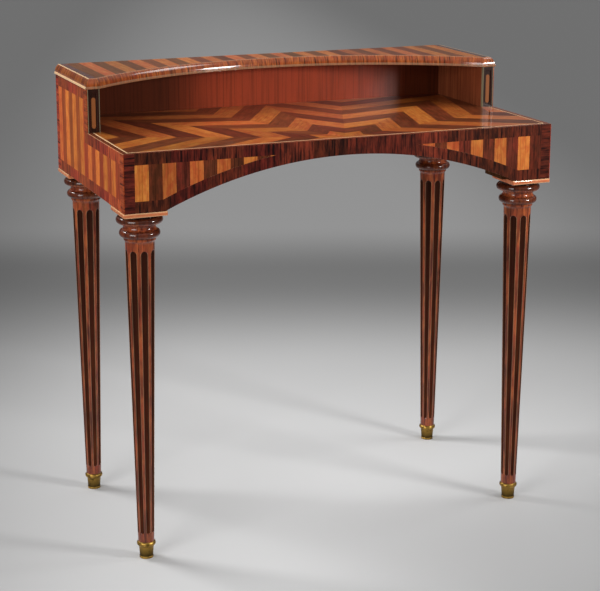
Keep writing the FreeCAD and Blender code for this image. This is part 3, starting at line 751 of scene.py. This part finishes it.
def pilaster_middle(tree, colours):
    """Leaves a round-ended middle of the pilaster unstained, and draws its sides pale: worn, and also a
    painted highlight on its arrises.
    """
    sums = partial(maths, tree)
    place = add(tree, "ShaderNodeSeparateXYZ", {0: object_place(tree)}).outputs
    axis = middle("right_pilaster")
    half = bpy.context.scene.table_sizes.pilaster_inlay / 2
    half_height, drop, line = 28 * MM, 4 * MM, 0.8 * MM
    aside = sums("ABSOLUTE", sums("SUBTRACT", sums("ABSOLUTE", place[0]), axis.x))
    aloft = sums("ABSOLUTE", sums("SUBTRACT", place[2], axis.z - drop))
    past_middle = sums("MAXIMUM", sums("SUBTRACT", aloft, half_height - half), 0.0)
    apart = sums("SQRT", sums("ADD", sums("POWER", aside, 2.0), sums("POWER", past_middle, 2.0)))
    inlay = ranged(tree, apart, half - line, half, 1.0, 0.0)
    colours = mixed(tree, inlay, colours, linear("#86502c"))
    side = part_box("right_pilaster")[1].x - axis.x
    # Pale sides: worn, and also a painted highlight along the arrises
    rubbed_and_highlit = ranged(tree, aside, side - 1.8 * MM, side - 1.0 * MM, 0.0, 0.6)
    return mixed(tree, rubbed_and_highlit, colours, linear("#8c8468"))


PLAIN_LOOKS = {
    "laid_out": True,  # whether the piece carries its own grain
    "flush_share": 0.0,
    "tone": 0.2,
    # how pale the worn arrises are drawn, which also paints their highlights
    "wear": 0.45,
    "stained": None,  # size in mm of the clouds in a stain
    "over": None,  # what is drawn over the wood
    "roughness": 0.42,
    "coat": 0.9,
    "coat_ior": 1.32,
    "coat_roughness": 0.06,
}


def look(**own):
    """The looks of a wood: plain ones, and its own in their place."""
    return {**PLAIN_LOOKS, **own}


TULIPWOOD = ((90, 2.5), (28, 9))
ROSEWOOD = ((90, 3), (40, 8))
KINGWOOD = ((60, 3.4), (40, 7))
MAHOGANY = ((200, 4), (120, 16))
LEG = (("turned", "mahogany_streak", "#b4662f"), (80, 5), (50, 11), 0.95)
LEG_LOOK = {"flush_share": 0.25, "stained": (55, 9), "tone": 0.0, "wear": 0.5}
# Drawn dark brown for age, and darker still as painted shade where the hidden work shows under the case
SHADED_DEAL = (("deal", "#2e1a0e", "#654226"), (220, 5), (150, 20), 0.6)
DEAL_LOOK = {"roughness": 0.75, "coat": 0.0, "wear": 0}

# Each wood: base, streak and light colours, streaks and figure in mm along and across, contrast, looks
WOODS = {
    # Sliced veneer under old shellac: orange-tan, flushed with pink, with fine straight growth lines
    "Shellacked tulipwood": (
        ("tulipwood", "tulipwood_streak", "#cc8440"), *TULIPWOOD, 0.65,
        look(flush_share=0.45, coat_roughness=0.1),
    ),
    # The light veneer on top of the shelf: dry, and browner than where hands have kept it polished
    "Dusty tulipwood": (
        ("#a45a2c", "tulipwood_streak", "#bc7c44"), *TULIPWOOD, 0.65,
        look(flush_share=0.4, coat=0.4, coat_roughness=0.15),
    ),
    # The light veneer of the ends: drawn redder and lighter as painted light for the strong light on the
    # ends, under a thin dull polish
    "Dry tulipwood": (
        ("#c2642a", "tulipwood_streak", "#d4843c"), *TULIPWOOD, 0.6,
        look(flush_share=0.4, coat=0.2),
    ),
    # Dense dark veneer of the front: chocolate brown with black lines, and a hard bright polish
    "Shellacked rosewood": (
        ("rosewood", "rosewood_streak", "#6a3220"), *ROSEWOOD, 0.75,
        look(flush_share=0.15),
    ),
    # The same veneer where it lies level, drawn a lighter, milky brown
    "Paled rosewood": (
        ("level_rosewood", "rosewood", "#7c4026"), *ROSEWOOD, 0.75,
        look(flush_share=0.15, coat=0.7, coat_roughness=0.1),
    ),
    # The same veneer on top of the shelf, where it has gone a dry dusty brown
    "Dusty rosewood": (
        ("#63391e", "level_rosewood", "#7c4a28"), *ROSEWOOD, 0.7,
        look(flush_share=0.15, coat=0.4, coat_roughness=0.15),
    ),
    # The same veneer on the ends, drawn red-brown and lighter as painted light for the strong light on
    # them, under a thin dull polish
    "Sun-faded rosewood": (
        ("lit_end_rosewood", "rosewood", "#ac5628"), *ROSEWOOD, 0.6,
        look(flush_share=0.3, coat=0.2),
    ),
    # Crossbanding cut across the board: short near-black streaks beside red-brown and paler ones
    "Shellacked kingwood": (
        ("kingwood", "kingwood_streak", "kingwood_light"), *KINGWOOD, 1.0,
        look(tone=0.4, wear=0.6, flush_share=0.15),
    ),
    # The crossbanding of the ends, drawn lighter as painted light like the strips that it frames
    "Sun-faded kingwood": (
        ("#802e1e", "kingwood", "#b4502c"), *KINGWOOD, 0.95,
        look(tone=0.3, flush_share=0.3, coat=0.2),
    ),
    # Quarter-cut mahogany: red-brown, with straight ribbon figure and a mirror-like French polish
    "French-polished mahogany": (
        ("mahogany", "mahogany_streak", "#a04c28"), *MAHOGANY, 0.75,
        look(coat=1.0),
    ),
    # The ends' bare boards, seen inside the gallery: the same wood, drawn browner and darker than the
    # panel behind as painted shade
    "Brown mahogany": (
        ("#753b24", "mahogany_streak", "#8a4a2c"), *MAHOGANY, 0.75,
        look(coat=1.0),
    ),
    # The gallery's lining: red where the hollow shelf lets light in, with painted shade browning it at the
    # ends
    "Bleached mahogany": (
        ("mahogany", "#3c2012", "#94401f"), (220, 3.5), (160, 60), 0.42,
        look(coat=0.5, coat_roughness=0.22, over=paint_gallery_end_shade),
    ),
    # The corner plates: edges handled down to pale bare wood under thin polish, their pale also a painted
    # highlight
    "Worn mahogany": (
        ("#c46a44", "mahogany", "#dc946a"), (60, 4), (30, 8), 0.7,
        look(wear=1.0),
    ),
    # Cross-grained moulding: the figure runs over the curve in short mottled bars, with pale edges that
    # are worn and also painted highlights, and painted shade on parts of its section
    "Cross-grained moulding": (
        ("#7c3a1a", "#38180a", "#b0642c"), (40, 3), (30, 9), 0.95,
        look(coat=1.0, coat_ior=1.5, coat_roughness=0.12, flush_share=0.25, tone=0.5, wear=1.0),
    ),
    # Rings, necks and lands of the legs: streaked brown-red under thick polish with hard highlights
    "Turned mahogany": (*LEG, look(**LEG_LOOK, coat=1.0, coat_ior=1.45, coat_roughness=0.12)),
    # Flutes: the same wood stained, the stain also painting the shade in the hollows, and left dull so
    # that they stay dark over a pale floor
    "Fluted mahogany": (*LEG, look(**LEG_LOOK, coat=0.05)),
    # Pale close-grained line let into the edge, yellowed by its polish
    "Boxwood stringing": (
        ("boxwood", "#b98a5a", "#f0cfa6"), (40, 1.5), (40, 6), 0.4,
        look(coat=0.7, wear=0),
    ),
    # Unpolished softwood of the hidden work: dry, brown with age and dull, with open growth lines, drawn
    # darker still as painted shade under the case
    "Planed deal": (*SHADED_DEAL, look(**DEAL_LOOK)),
    # The same softwood split into dowels
    "Riven deal": (*SHADED_DEAL, look(**DEAL_LOOK, laid_out=False)),
    # Black-stained pilaster with a brown middle in the wood's own colour, and pale sides that are worn and
    # also painted highlights
    "Ebonised pilaster": (
        ("ebony", "#0d0705", "#2c1a10"), (90, 3), (60, 10), 0.6,
        look(coat=0.6, coat_roughness=0.3, wear=0, over=pilaster_middle),
    ),
}


def wood(name):
    """Polished wood: streaks, figure, flushes of another hue and pores, under a clear coat."""
    if name in bpy.data.materials:
        return bpy.data.materials[name]
    palette, streak_mm, figure_mm, contrast, looks = WOODS[name]
    base, streak, light = (shade(code) for code in palette)
    material, tree, shader = new_material(name)
    mix, sums = partial(mixed, tree), partial(maths, tree)
    grain = attribute(tree, "grain", "Vector") if looks["laid_out"] else object_place(tree)

    def layer(along_mm, across_mm, detail, low, high):
        """Stretched noise of a real size, raised to a mask between two levels."""
        scale = (1 / (along_mm * MM), 1 / (across_mm * MM), 1 / (across_mm * MM))
        laid = add(tree, "ShaderNodeMapping", {"Vector": grain, "Scale": scale}).outputs[0]
        inputs = {"Vector": laid, "Scale": 1.0, "Detail": detail, "Roughness": 0.6, "Distortion": 0.3}
        noise = add(tree, "ShaderNodeTexNoise", inputs).outputs[0]
        return ranged(tree, noise, low, high, curve=SOFT)

    def up_to(value, most):
        return ranged(tree, value, 0.0, 1.0, 0.0, most)

    streaks = layer(*streak_mm, 4.0, 0.45, 0.68)
    figure = layer(*figure_mm, 3.0, 0.35, 0.68)
    flushes = layer(0.6 * figure_mm[0], 1.4 * figure_mm[1], 2.0, 0.42, 0.66)
    pores = layer(9.0, 0.9, 2.0, 0.54, 0.7)  # drawn at twice the size of real pores, to show
    colours = mix(up_to(figure, 0.8 * contrast), base, light)
    colours = mix(up_to(flushes, looks["flush_share"]), colours, shade("flush"))
    colours = mix(up_to(streaks, contrast), colours, streak)
    colours = mix(up_to(pores, 0.4 * contrast), colours, streak)
    if looks["laid_out"]:
        tone = attribute(tree, "tone")
        other_tone = sums("FRACT", sums("MULTIPLY", tone, 7.3))  # a second chance value from the first
        varied = {"Color": colours, "Hue": ranged(tree, other_tone, 0.0, 1.0, 0.492, 0.508)}
        varied["Value"] = ranged(tree, tone, 0.0, 1.0, 1 - looks["tone"], 1 + looks["tone"])
        colours = add(tree, "ShaderNodeHueSaturation", varied).outputs[0]
        # Worn arrises drawn pale: wearing, and also a painted highlight
        colours = mix(up_to(attribute(tree, "worn"), looks["wear"]), colours, shade("boxwood"))
    if looks["stained"]:
        clouds = up_to(layer(*looks["stained"], 3.0, 0.46, 0.66), 0.45)
        stain = sums("MAXIMUM", attribute(tree, "stain"), clouds)
        colours = mix(stain, colours, shade("ebony"))
    if looks["over"]:
        colours = looks["over"](tree, colours)
    ripple = layer(60.0, 45.0, 1.0, 0.0, 1.0)
    surface = {
        "Base Color": colours,
        "Normal": bump(tree, streaks, 0.12, 0.05 * MM),
        "Roughness": looks["roughness"],
        "Specular IOR Level": 0.04,
        "Coat Normal": bump(tree, ripple, 0.25, 0.35 * MM),
        "Coat Weight": looks["coat"],
        "Coat IOR": looks["coat_ior"],
        "Coat Roughness": looks["coat_roughness"],
    }
    fill(tree, shader, surface)
    return material


def metal(name, base, tarnish, roughness, patches_mm):
    """Metal with tarnish that gathers in patches and in stained hollows."""
    material, tree, shader = new_material(name)
    scale = 1 / (patches_mm * MM)
    inputs = {"Vector": object_place(tree), "Scale": scale, "Detail": 4.0, "Roughness": 0.65}
    patches = add(tree, "ShaderNodeTexNoise", inputs).outputs[0]
    share = maths(tree, "MAXIMUM", ranged(tree, patches, 0.42, 0.7), attribute(tree, "stain"))
    surface = {
        "Base Color": mixed(tree, share, shade(base), shade(tarnish)),
        "Roughness": ranged(tree, share, 0.0, 1.0, roughness, roughness + 0.3),
        "Normal": bump(tree, patches, 0.2, 0.1 * MM),
        "Metallic": 1.0,
    }
    fill(tree, shader, surface)
    return material


# Operators


class WRITINGTABLE_OT_boards(bpy.types.Operator):
    """Polishes the boards of the case, the gallery and the shelf"""

    bl_idname = "writing_table.boards"
    bl_label = "Boards"

    def execute(self, context):
        dress("front_apron", "French-polished mahogany", "XZ", 1)
        dress("left_end", "Brown mahogany", "ZY", 2)
        dress("right_end", "Brown mahogany", "ZY", 3)
        dress("gallery_panel", "Bleached mahogany", "ZX", 4)
        dress("back_board", "French-polished mahogany", "XZ", 5)
        dress("writing_board", "Planed deal", "XY", 6)
        dress("shelf_board", "French-polished mahogany", "XY", 7)
        return {"FINISHED"}


class WRITINGTABLE_OT_pilasters(bpy.types.Operator):
    """Stains the pilasters on the front edges of the gallery"""

    bl_idname = "writing_table.pilasters"
    bl_label = "Pilasters"

    def execute(self, context):
        ease = context.scene.table_sizes.pilaster_ease
        for seed, hand in enumerate(SIDES, 10):
            dress(f"{hand}_pilaster", "Ebonised pilaster", "ZX", seed, ease=ease)
        return {"FINISHED"}


class WRITINGTABLE_OT_front_veneer(bpy.types.Operator):
    """Lays the crossbanding and the light and dark strips on the apron's face"""

    bl_idname = "writing_table.front_veneer"
    bl_label = "Front Veneer"

    def execute(self, context):
        sizes = context.scene.table_sizes
        inner = cad_high.x - shelf_overhang - sizes.banding_width
        pieces = math.ceil(inner / sizes.banding_piece)

        def banding_leaf(point):
            upright = abs(point.x) > inner
            piece = math.floor(point.x / sizes.banding_piece)
            return (math.pi / 2 if upright else 0.0), piece + pieces + 1

        cuts = [((side * inner, 0, 0), AXES["X"]) for side in SIDES.values()]
        cuts += [((k * sizes.banding_piece, 0, 0), AXES["X"]) for k in range(1 - pieces, pieces)]
        dress("front_crossbanding", "Shellacked kingwood", "ZX", 20, cuts, banding_leaf)
        dress("front_strips_light", "Shellacked tulipwood", "ZX", 21)
        dress("front_strips_dark", "Shellacked rosewood", "ZX", 22)
        return {"FINISHED"}


class WRITINGTABLE_OT_end_veneers(bpy.types.Operator):
    """Lays the crossbanding and the light and dark strips on both ends"""

    bl_idname = "writing_table.end_veneers"
    bl_label = "End Veneers"
    first_leaf = 10  # keeps the numbers of the leaves above nought

    def execute(self, context):
        sizes = context.scene.table_sizes
        low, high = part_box("left_end_crossbanding")
        width = sizes.banding_width
        tall_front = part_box("left_pilaster")[0].y + width
        front, rear = low.y + width, high.y - width

        def banding_leaf(point):
            in_tall_front = point.y < tall_front and point.z > writing_level
            upright = point.y < front or point.y > rear or in_tall_front
            piece = math.floor(point.y / sizes.banding_piece)
            return (math.pi / 2 if upright else 0.0), piece + self.first_leaf

        cuts = [((0, y, 0), AXES["Y"]) for y in (front, tall_front, rear)]
        cuts += [((0, k * sizes.banding_piece, 0), AXES["Y"]) for k in range(-2, 3)]
        cuts += [((0, 0, z), AXES["Z"]) for z in (writing_level - width, writing_level)]
        for side, hand in enumerate(SIDES):
            end, seed = f"{hand}_end", 30 + 3 * side
            banding = f"{end}_crossbanding"
            dress(banding, "Sun-faded kingwood", "ZY", seed, cuts, banding_leaf)
            dress(f"{end}_strips_light", "Dry tulipwood", "ZY", seed + 1)
            dress(f"{end}_strips_dark", "Sun-faded rosewood", "ZY", seed + 2)
        return {"FINISHED"}


class WRITINGTABLE_OT_shelf_veneer(bpy.types.Operator):
    """Lays the borders and the strips on top of the shelf"""

    bl_idname = "writing_table.shelf_veneer"
    bl_label = "Shelf Veneer"

    def execute(self, context):
        dress("shelf_crossbanding", "Shellacked kingwood", "XY", 40)
        dress("shelf_strips_light", "Dusty tulipwood", "YX", 41)
        dress("shelf_strips_dark", "Dusty rosewood", "YX", 42)
        return {"FINISHED"}


class WRITINGTABLE_OT_writing_surface(bpy.types.Operator):
    """Lays the mitred star and its stringing on the writing board"""

    bl_idname = "writing_table.writing_surface"
    bl_label = "Writing Surface"

    def execute(self, context):
        sizes = context.scene.table_sizes
        centre_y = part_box("writing_stringing")[0].y
        step = math.pi / sizes.star_points
        valley = sizes.star_valley
        falling = math.atan2(valley * math.sin(step), valley * math.cos(step) - 1)
        rising = math.atan2(math.sin(step), math.cos(step) - valley)

        def star_leaf(point):
            sector = math.floor(math.atan2(point.y - centre_y, point.x) / step)
            slope = rising if sector % 2 else falling
            return sector * step + slope, sector + 4 * sizes.star_points

        turns = [k * step for k in range(sizes.star_points)]
        cuts = [((0, centre_y, 0), (-math.sin(turn), math.cos(turn), 0)) for turn in turns]
        dress("writing_star_light", "Shellacked tulipwood", "XY", 50, cuts, star_leaf)
        dress("writing_star_dark", "Paled rosewood", "XY", 51, cuts, star_leaf)
        dress("writing_stringing", "Boxwood stringing", "XY", 52)
        return {"FINISHED"}


class WRITINGTABLE_OT_shelf_moulding(bpy.types.Operator):
    """Sweeps the shelf's moulding round its two ends and its hollow front"""

    bl_idname = "writing_table.shelf_moulding"
    bl_label = "Shelf Moulding"
    arc_stations = 72
    fillet_points = 5  # the first points of the section are its fillet

    def execute(self, context):
        sizes = context.scene.table_sizes
        half, front = shelf_high.x, shelf_low.y
        radius = (end_inner**2 + sizes.shelf_hollow**2) / (2 * sizes.shelf_hollow)
        centre = front + sizes.shelf_hollow - radius

        def rear(side):
            return lambda inset: (side * (half - inset), rear_edge)

        def corner(side):
            return lambda inset: (side * (half - inset), front + inset)

        def meeting(side):
            def place(inset):
                y = front + inset
                return side * math.sqrt((radius + inset) ** 2 - (y - centre) ** 2), y

            return place

        def on_arc(share):
            def place(inset):
                reach = math.atan2(meeting(1)(inset)[0], front + inset - centre)
                angle = (2 * share - 1) * reach
                return (radius + inset) * math.sin(angle), centre + (radius + inset) * math.cos(angle)

            return place

        shares = spread(0, 1, self.arc_stations)[1:-1]
        hollow = [corner(-1), meeting(-1), *(on_arc(share) for share in shares), meeting(1), corner(1)]
        section = moulding_section(sizes)
        last = len(section)
        # The worn edges are drawn pale, which also paints their highlights; painted shade darkens the
        # front's fillet and the returns above their fillet
        edges = (1, 2, 3, 4, last - 4, last - 3, last - 2)  # where hands rub the section
        rubbed_and_highlit = [float(k in edges) for k in range(last)]
        barely = [0.2 * rub for rub in rubbed_and_highlit]
        fillet_in_painted_shade = [0.15 if k < self.fillet_points else 0.6 for k in range(last)]
        curve_in_painted_shade = [0.6 if k < self.fillet_points else 0.35 for k in range(last)]
        moulding_piece("shelf_left_moulding", section, rubbed_and_highlit, curve_in_painted_shade, [rear(-1), corner(-1)], 60)
        moulding_piece("shelf_front_moulding", section, barely, fillet_in_painted_shade, hollow, 61)
        moulding_piece("shelf_right_moulding", section, rubbed_and_highlit, curve_in_painted_shade, [corner(1), rear(1)], 62)
        return {"FINISHED"}


class WRITINGTABLE_OT_legs(bpy.types.Operator):
    """Turns and flutes the four legs"""

    bl_idname = "writing_table.legs"
    bl_label = "Legs"
    segments = 240

    def execute(self, context):
        profile = leg_profile(context.scene.table_sizes)
        polished, dull = wood("Turned mahogany"), wood("Fluted mahogany")
        for seed, corner in enumerate(CORNERS, 74):
            turn_piece(f"{corner}_leg", profile, polished, seed, self.segments, dull)
        return {"FINISHED"}


class WRITINGTABLE_OT_sabots(bpy.types.Operator):
    """Turns the brass sabots under the legs"""

    bl_idname = "writing_table.sabots"
    bl_label = "Sabots"
    segments = 64

    def execute(self, context):
        profile = sabot_profile(context.scene.table_sizes)
        # Cast brass, turned and handled: dull gold on the ring, brown tarnish in the hollows
        gold = metal("Aged cast brass", "brass", "brass_patina", 0.32, 9)
        for seed, corner in enumerate(CORNERS, 80):
            turn_piece(f"{corner}_sabot", profile, gold, seed, self.segments)
        return {"FINISHED"}


class WRITINGTABLE_OT_plates(bpy.types.Operator):
    """Eases and polishes the square plates between the case and the legs"""

    bl_idname = "writing_table.plates"
    bl_label = "Corner Plates"
    inward = 10 * MM

    def keep_inner_arrises(self, mesh, centre):
        """Takes the pale off the arrises that face the middle of the table, where no hand reaches and
        which stand in shade, so that no highlight is painted there.
        """
        worn = mesh.attributes["worn"].data
        for face in mesh.polygons:
            aside = abs(centre.x) - abs(face.center.x)
            behind = abs(centre.y) - abs(face.center.y)
            if max(aside, behind) > self.inward:
                worn[face.index].value = 0.0

    def execute(self, context):
        ease = context.scene.table_sizes.plate_ease
        for seed, corner in enumerate(CORNERS, 90):
            node = f"{corner}_plate"
            plate = dress(node, "Worn mahogany", "XY", seed, ease=ease)
            self.keep_inner_arrises(plate.data, middle(node))
        return {"FINISHED"}


class WRITINGTABLE_OT_hidden_work(bpy.types.Operator):
    """Finishes the glue blocks, cleats, dowels and screws under the writing board"""

    bl_idname = "writing_table.hidden_work"
    bl_label = "Hidden Work"

    def execute(self, context):
        for seed, corner in enumerate(CORNERS, 100):
            dress(f"{corner}_corner_block", "Planed deal", "ZX", seed)
        for seed, (edge, lie) in enumerate((("left", "YX"), ("right", "YX"), ("rear", "XY")), 110):
            dress(f"{edge}_cleat", "Planed deal", lie, seed)
        # Plain wood screws gone grey, with brown rust in spots
        grey = metal("Greyed steel", "steel", "#3a2416", 0.4, 3)
        for node, material in (("shelf_dowels", wood("Riven deal")), ("cleat_screws", grey)):
            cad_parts[node].data.materials.clear()
            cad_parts[node].data.materials.append(material)
        return {"FINISHED"}


class WRITINGTABLE_OT_stage(bpy.types.Operator):
    """Sets the pale floor, the studio lights and the camera"""

    bl_idname = "writing_table.stage"
    bl_label = "Stage"
    floor_reach = 30.0
    pool = {"Location": (0.25, 0.0, 0.0), "Scale": (0.8, 9.0, 1.0)}  # where the lamps light the paper
    pool_turn = 0.08
    pool_edge = (0.5, 1.7)
    # Painted shade where the paper folds away from the light, and painted light where it rises behind
    fold_depth, fold_tone = (0.8, 1.6), (1.12, 0.62)  # how far off the paper darkens towards its fold
    rise_depth, rise_tone = (1.7, 2.3), (0.0, 0.55)  # and lightens again where it rises behind
    ceiling_from = (0.15, 0.75)
    wall_width, wall_height, wall_tone = (0.75, 0.95), (0.1, 0.22), (1.0, 0.15)
    heart = (0.0, 0.0, 0.6)  # what the lamps are aimed at
    grid_spread = math.radians(70)
    lamps = {
        "right": ((1.71, -0.22, 2.5), 0.8, "right_power"),
        "back_left": ((-1.31, 1.05, 2.1), 0.7, "back_power"),
        "front_right": ((1.14, -1.26, 1.12), 0.35, "front_right_power"),
        "front_left": ((-1.88, -1.2, 1.05), 1.1, "front_left_power"),
    }

    def floor(self, settings, away):
        # Matt background paper, with light and shade painted on: a painted pool of light where the lamps
        # fall, greyer further off, painted shade along its fold
        material, tree, shader = new_material("Matt paper")
        place = object_place(tree)
        pool = {"Vector": place, "Rotation": (0, 0, self.pool_turn - settings.azimuth), **self.pool}
        drawn_in = add(tree, "ShaderNodeMapping", pool, vector_type="TEXTURE").outputs[0]
        far = ranged(tree, vectors(tree, "LENGTH", drawn_in), *self.pool_edge, curve=SOFT)
        paper = mixed(tree, far, settings.floor, settings.floor_far)
        depth = vectors(tree, "DOT_PRODUCT", place, away)
        fold = ranged(tree, depth, *self.fold_depth, *self.fold_tone, SOFT)
        rise = ranged(tree, depth, *self.rise_depth, *self.rise_tone, SOFT)
        levels = {0: paper, "Scale": maths(tree, "ADD", fold, rise)}
        toned = add(tree, "ShaderNodeVectorMath", levels, operation="SCALE").outputs[0]
        fill(tree, shader, {"Base Color": toned, "Roughness": 0.7})
        mesh = bpy.data.meshes.new("paper_floor")
        reach = self.floor_reach
        corners = [(-reach, -reach, 0), (reach, -reach, 0), (reach, reach, 0), (-reach, reach, 0)]
        mesh.from_pydata(corners, [], [(0, 1, 2, 3)])
        mesh.materials.append(material)
        new_object("paper_floor", mesh)

    def room(self, scene, settings, away):
        """Soft light from overhead, and a glow low on the far wall that the polish picks up."""
        world = bpy.data.worlds.new("Studio room")
        world.use_nodes = True
        tree = world.node_tree
        way = add(tree, "ShaderNodeTexCoord").outputs["Generated"]
        height = add(tree, "ShaderNodeSeparateXYZ", {0: way}).outputs[2]
        overhead = ranged(tree, height, *self.ceiling_from, curve=SOFT)
        colours = mixed(tree, overhead, settings.surround, settings.ceiling)
        behind = ranged(tree, vectors(tree, "DOT_PRODUCT", way, away), *self.wall_width, curve=SOFT)
        low = ranged(tree, height, *self.wall_height, *self.wall_tone, SOFT)
        colours = mixed(tree, maths(tree, "MULTIPLY", behind, low), colours, settings.backdrop)
        fill(tree, tree.nodes["Background"], {"Color": colours})
        scene.world = world

    def light(self, scene, name, place, size, watts):
        data = bpy.data.lights.new(name, "AREA")
        data.size, data.energy, data.spread = size, watts, self.grid_spread
        lamp = bpy.data.objects.new(name, data)
        lamp.visible_camera = False
        scene.collection.objects.link(lamp)
        lamp.location = place
        lamp.rotation_euler = (Vector(self.heart) - Vector(place)).to_track_quat("-Z", "Y").to_euler()

    def camera(self, scene, settings, away):
        data = bpy.data.cameras.new("camera")
        camera = bpy.data.objects.new("camera", data)
        scene.collection.objects.link(camera)
        rise = settings.elevation
        back = Vector(away) * -math.cos(rise) + Vector((0, 0, math.sin(rise)))
        camera.location = Vector(settings.target) + back * settings.distance
        camera.rotation_euler = (-back).to_track_quat("-Z", "Y").to_euler()
        data.sensor_width = SENSOR_WIDTH
        data.lens = settings.lens
        data.shift_x = (PHOTO_WIDTH / 2 - settings.aim_x) / PHOTO_WIDTH
        data.shift_y = (settings.aim_y - PHOTO_HEIGHT / 2) / PHOTO_WIDTH
        scene.camera = camera

    def execute(self, context):
        scene = context.scene
        settings = scene.table_stage
        away = (math.sin(settings.azimuth), math.cos(settings.azimuth), 0.0)
        self.floor(settings, away)
        self.room(scene, settings, away)
        for name, (place, size, watts) in self.lamps.items():
            self.light(scene, name, place, size, getattr(settings, watts))
        self.camera(scene, settings, away)
        scene.view_settings.view_transform = "Standard"
        return {"FINISHED"}


class WRITINGTABLE_PT_panel(bpy.types.Panel):
    """Lists the steps that dress the table"""

    bl_idname = "WRITINGTABLE_PT_panel"
    bl_label = "Writing Table"
    bl_space_type = "VIEW_3D"
    bl_region_type = "UI"
    bl_category = "Writing Table"

    def draw(self, context):
        for step in STEPS:
            self.layout.operator(step.bl_idname)
        for group in ("table_sizes", "table_finish", "table_stage"):
            box = self.layout.box()
            settings = getattr(context.scene, group)
            for name in settings.__annotations__:
                box.prop(settings, name)


STEPS = (
    WRITINGTABLE_OT_boards,
    WRITINGTABLE_OT_pilasters,
    WRITINGTABLE_OT_front_veneer,
    WRITINGTABLE_OT_end_veneers,
    WRITINGTABLE_OT_shelf_veneer,
    WRITINGTABLE_OT_writing_surface,
    WRITINGTABLE_OT_shelf_moulding,
    WRITINGTABLE_OT_legs,
    WRITINGTABLE_OT_sabots,
    WRITINGTABLE_OT_plates,
    WRITINGTABLE_OT_hidden_work,
    WRITINGTABLE_OT_stage,
)
CLASSES = (TableSizes, TableFinish, StageSettings, *STEPS, WRITINGTABLE_PT_panel)


def register():
    for each in CLASSES:
        bpy.utils.register_class(each)
    bpy.types.Scene.table_sizes = bpy.props.PointerProperty(type=TableSizes)
    bpy.types.Scene.table_finish = bpy.props.PointerProperty(type=TableFinish)
    bpy.types.Scene.table_stage = bpy.props.PointerProperty(type=StageSettings)


def unregister():
    del bpy.types.Scene.table_stage, bpy.types.Scene.table_finish, bpy.types.Scene.table_sizes
    for each in reversed(CLASSES):
        bpy.utils.unregister_class(each)


def main():
    register()
    for step in STEPS:
        group, name = step.bl_idname.split(".")
        getattr(getattr(bpy.ops, group), name)()


if __name__ == "__main__":
    main()
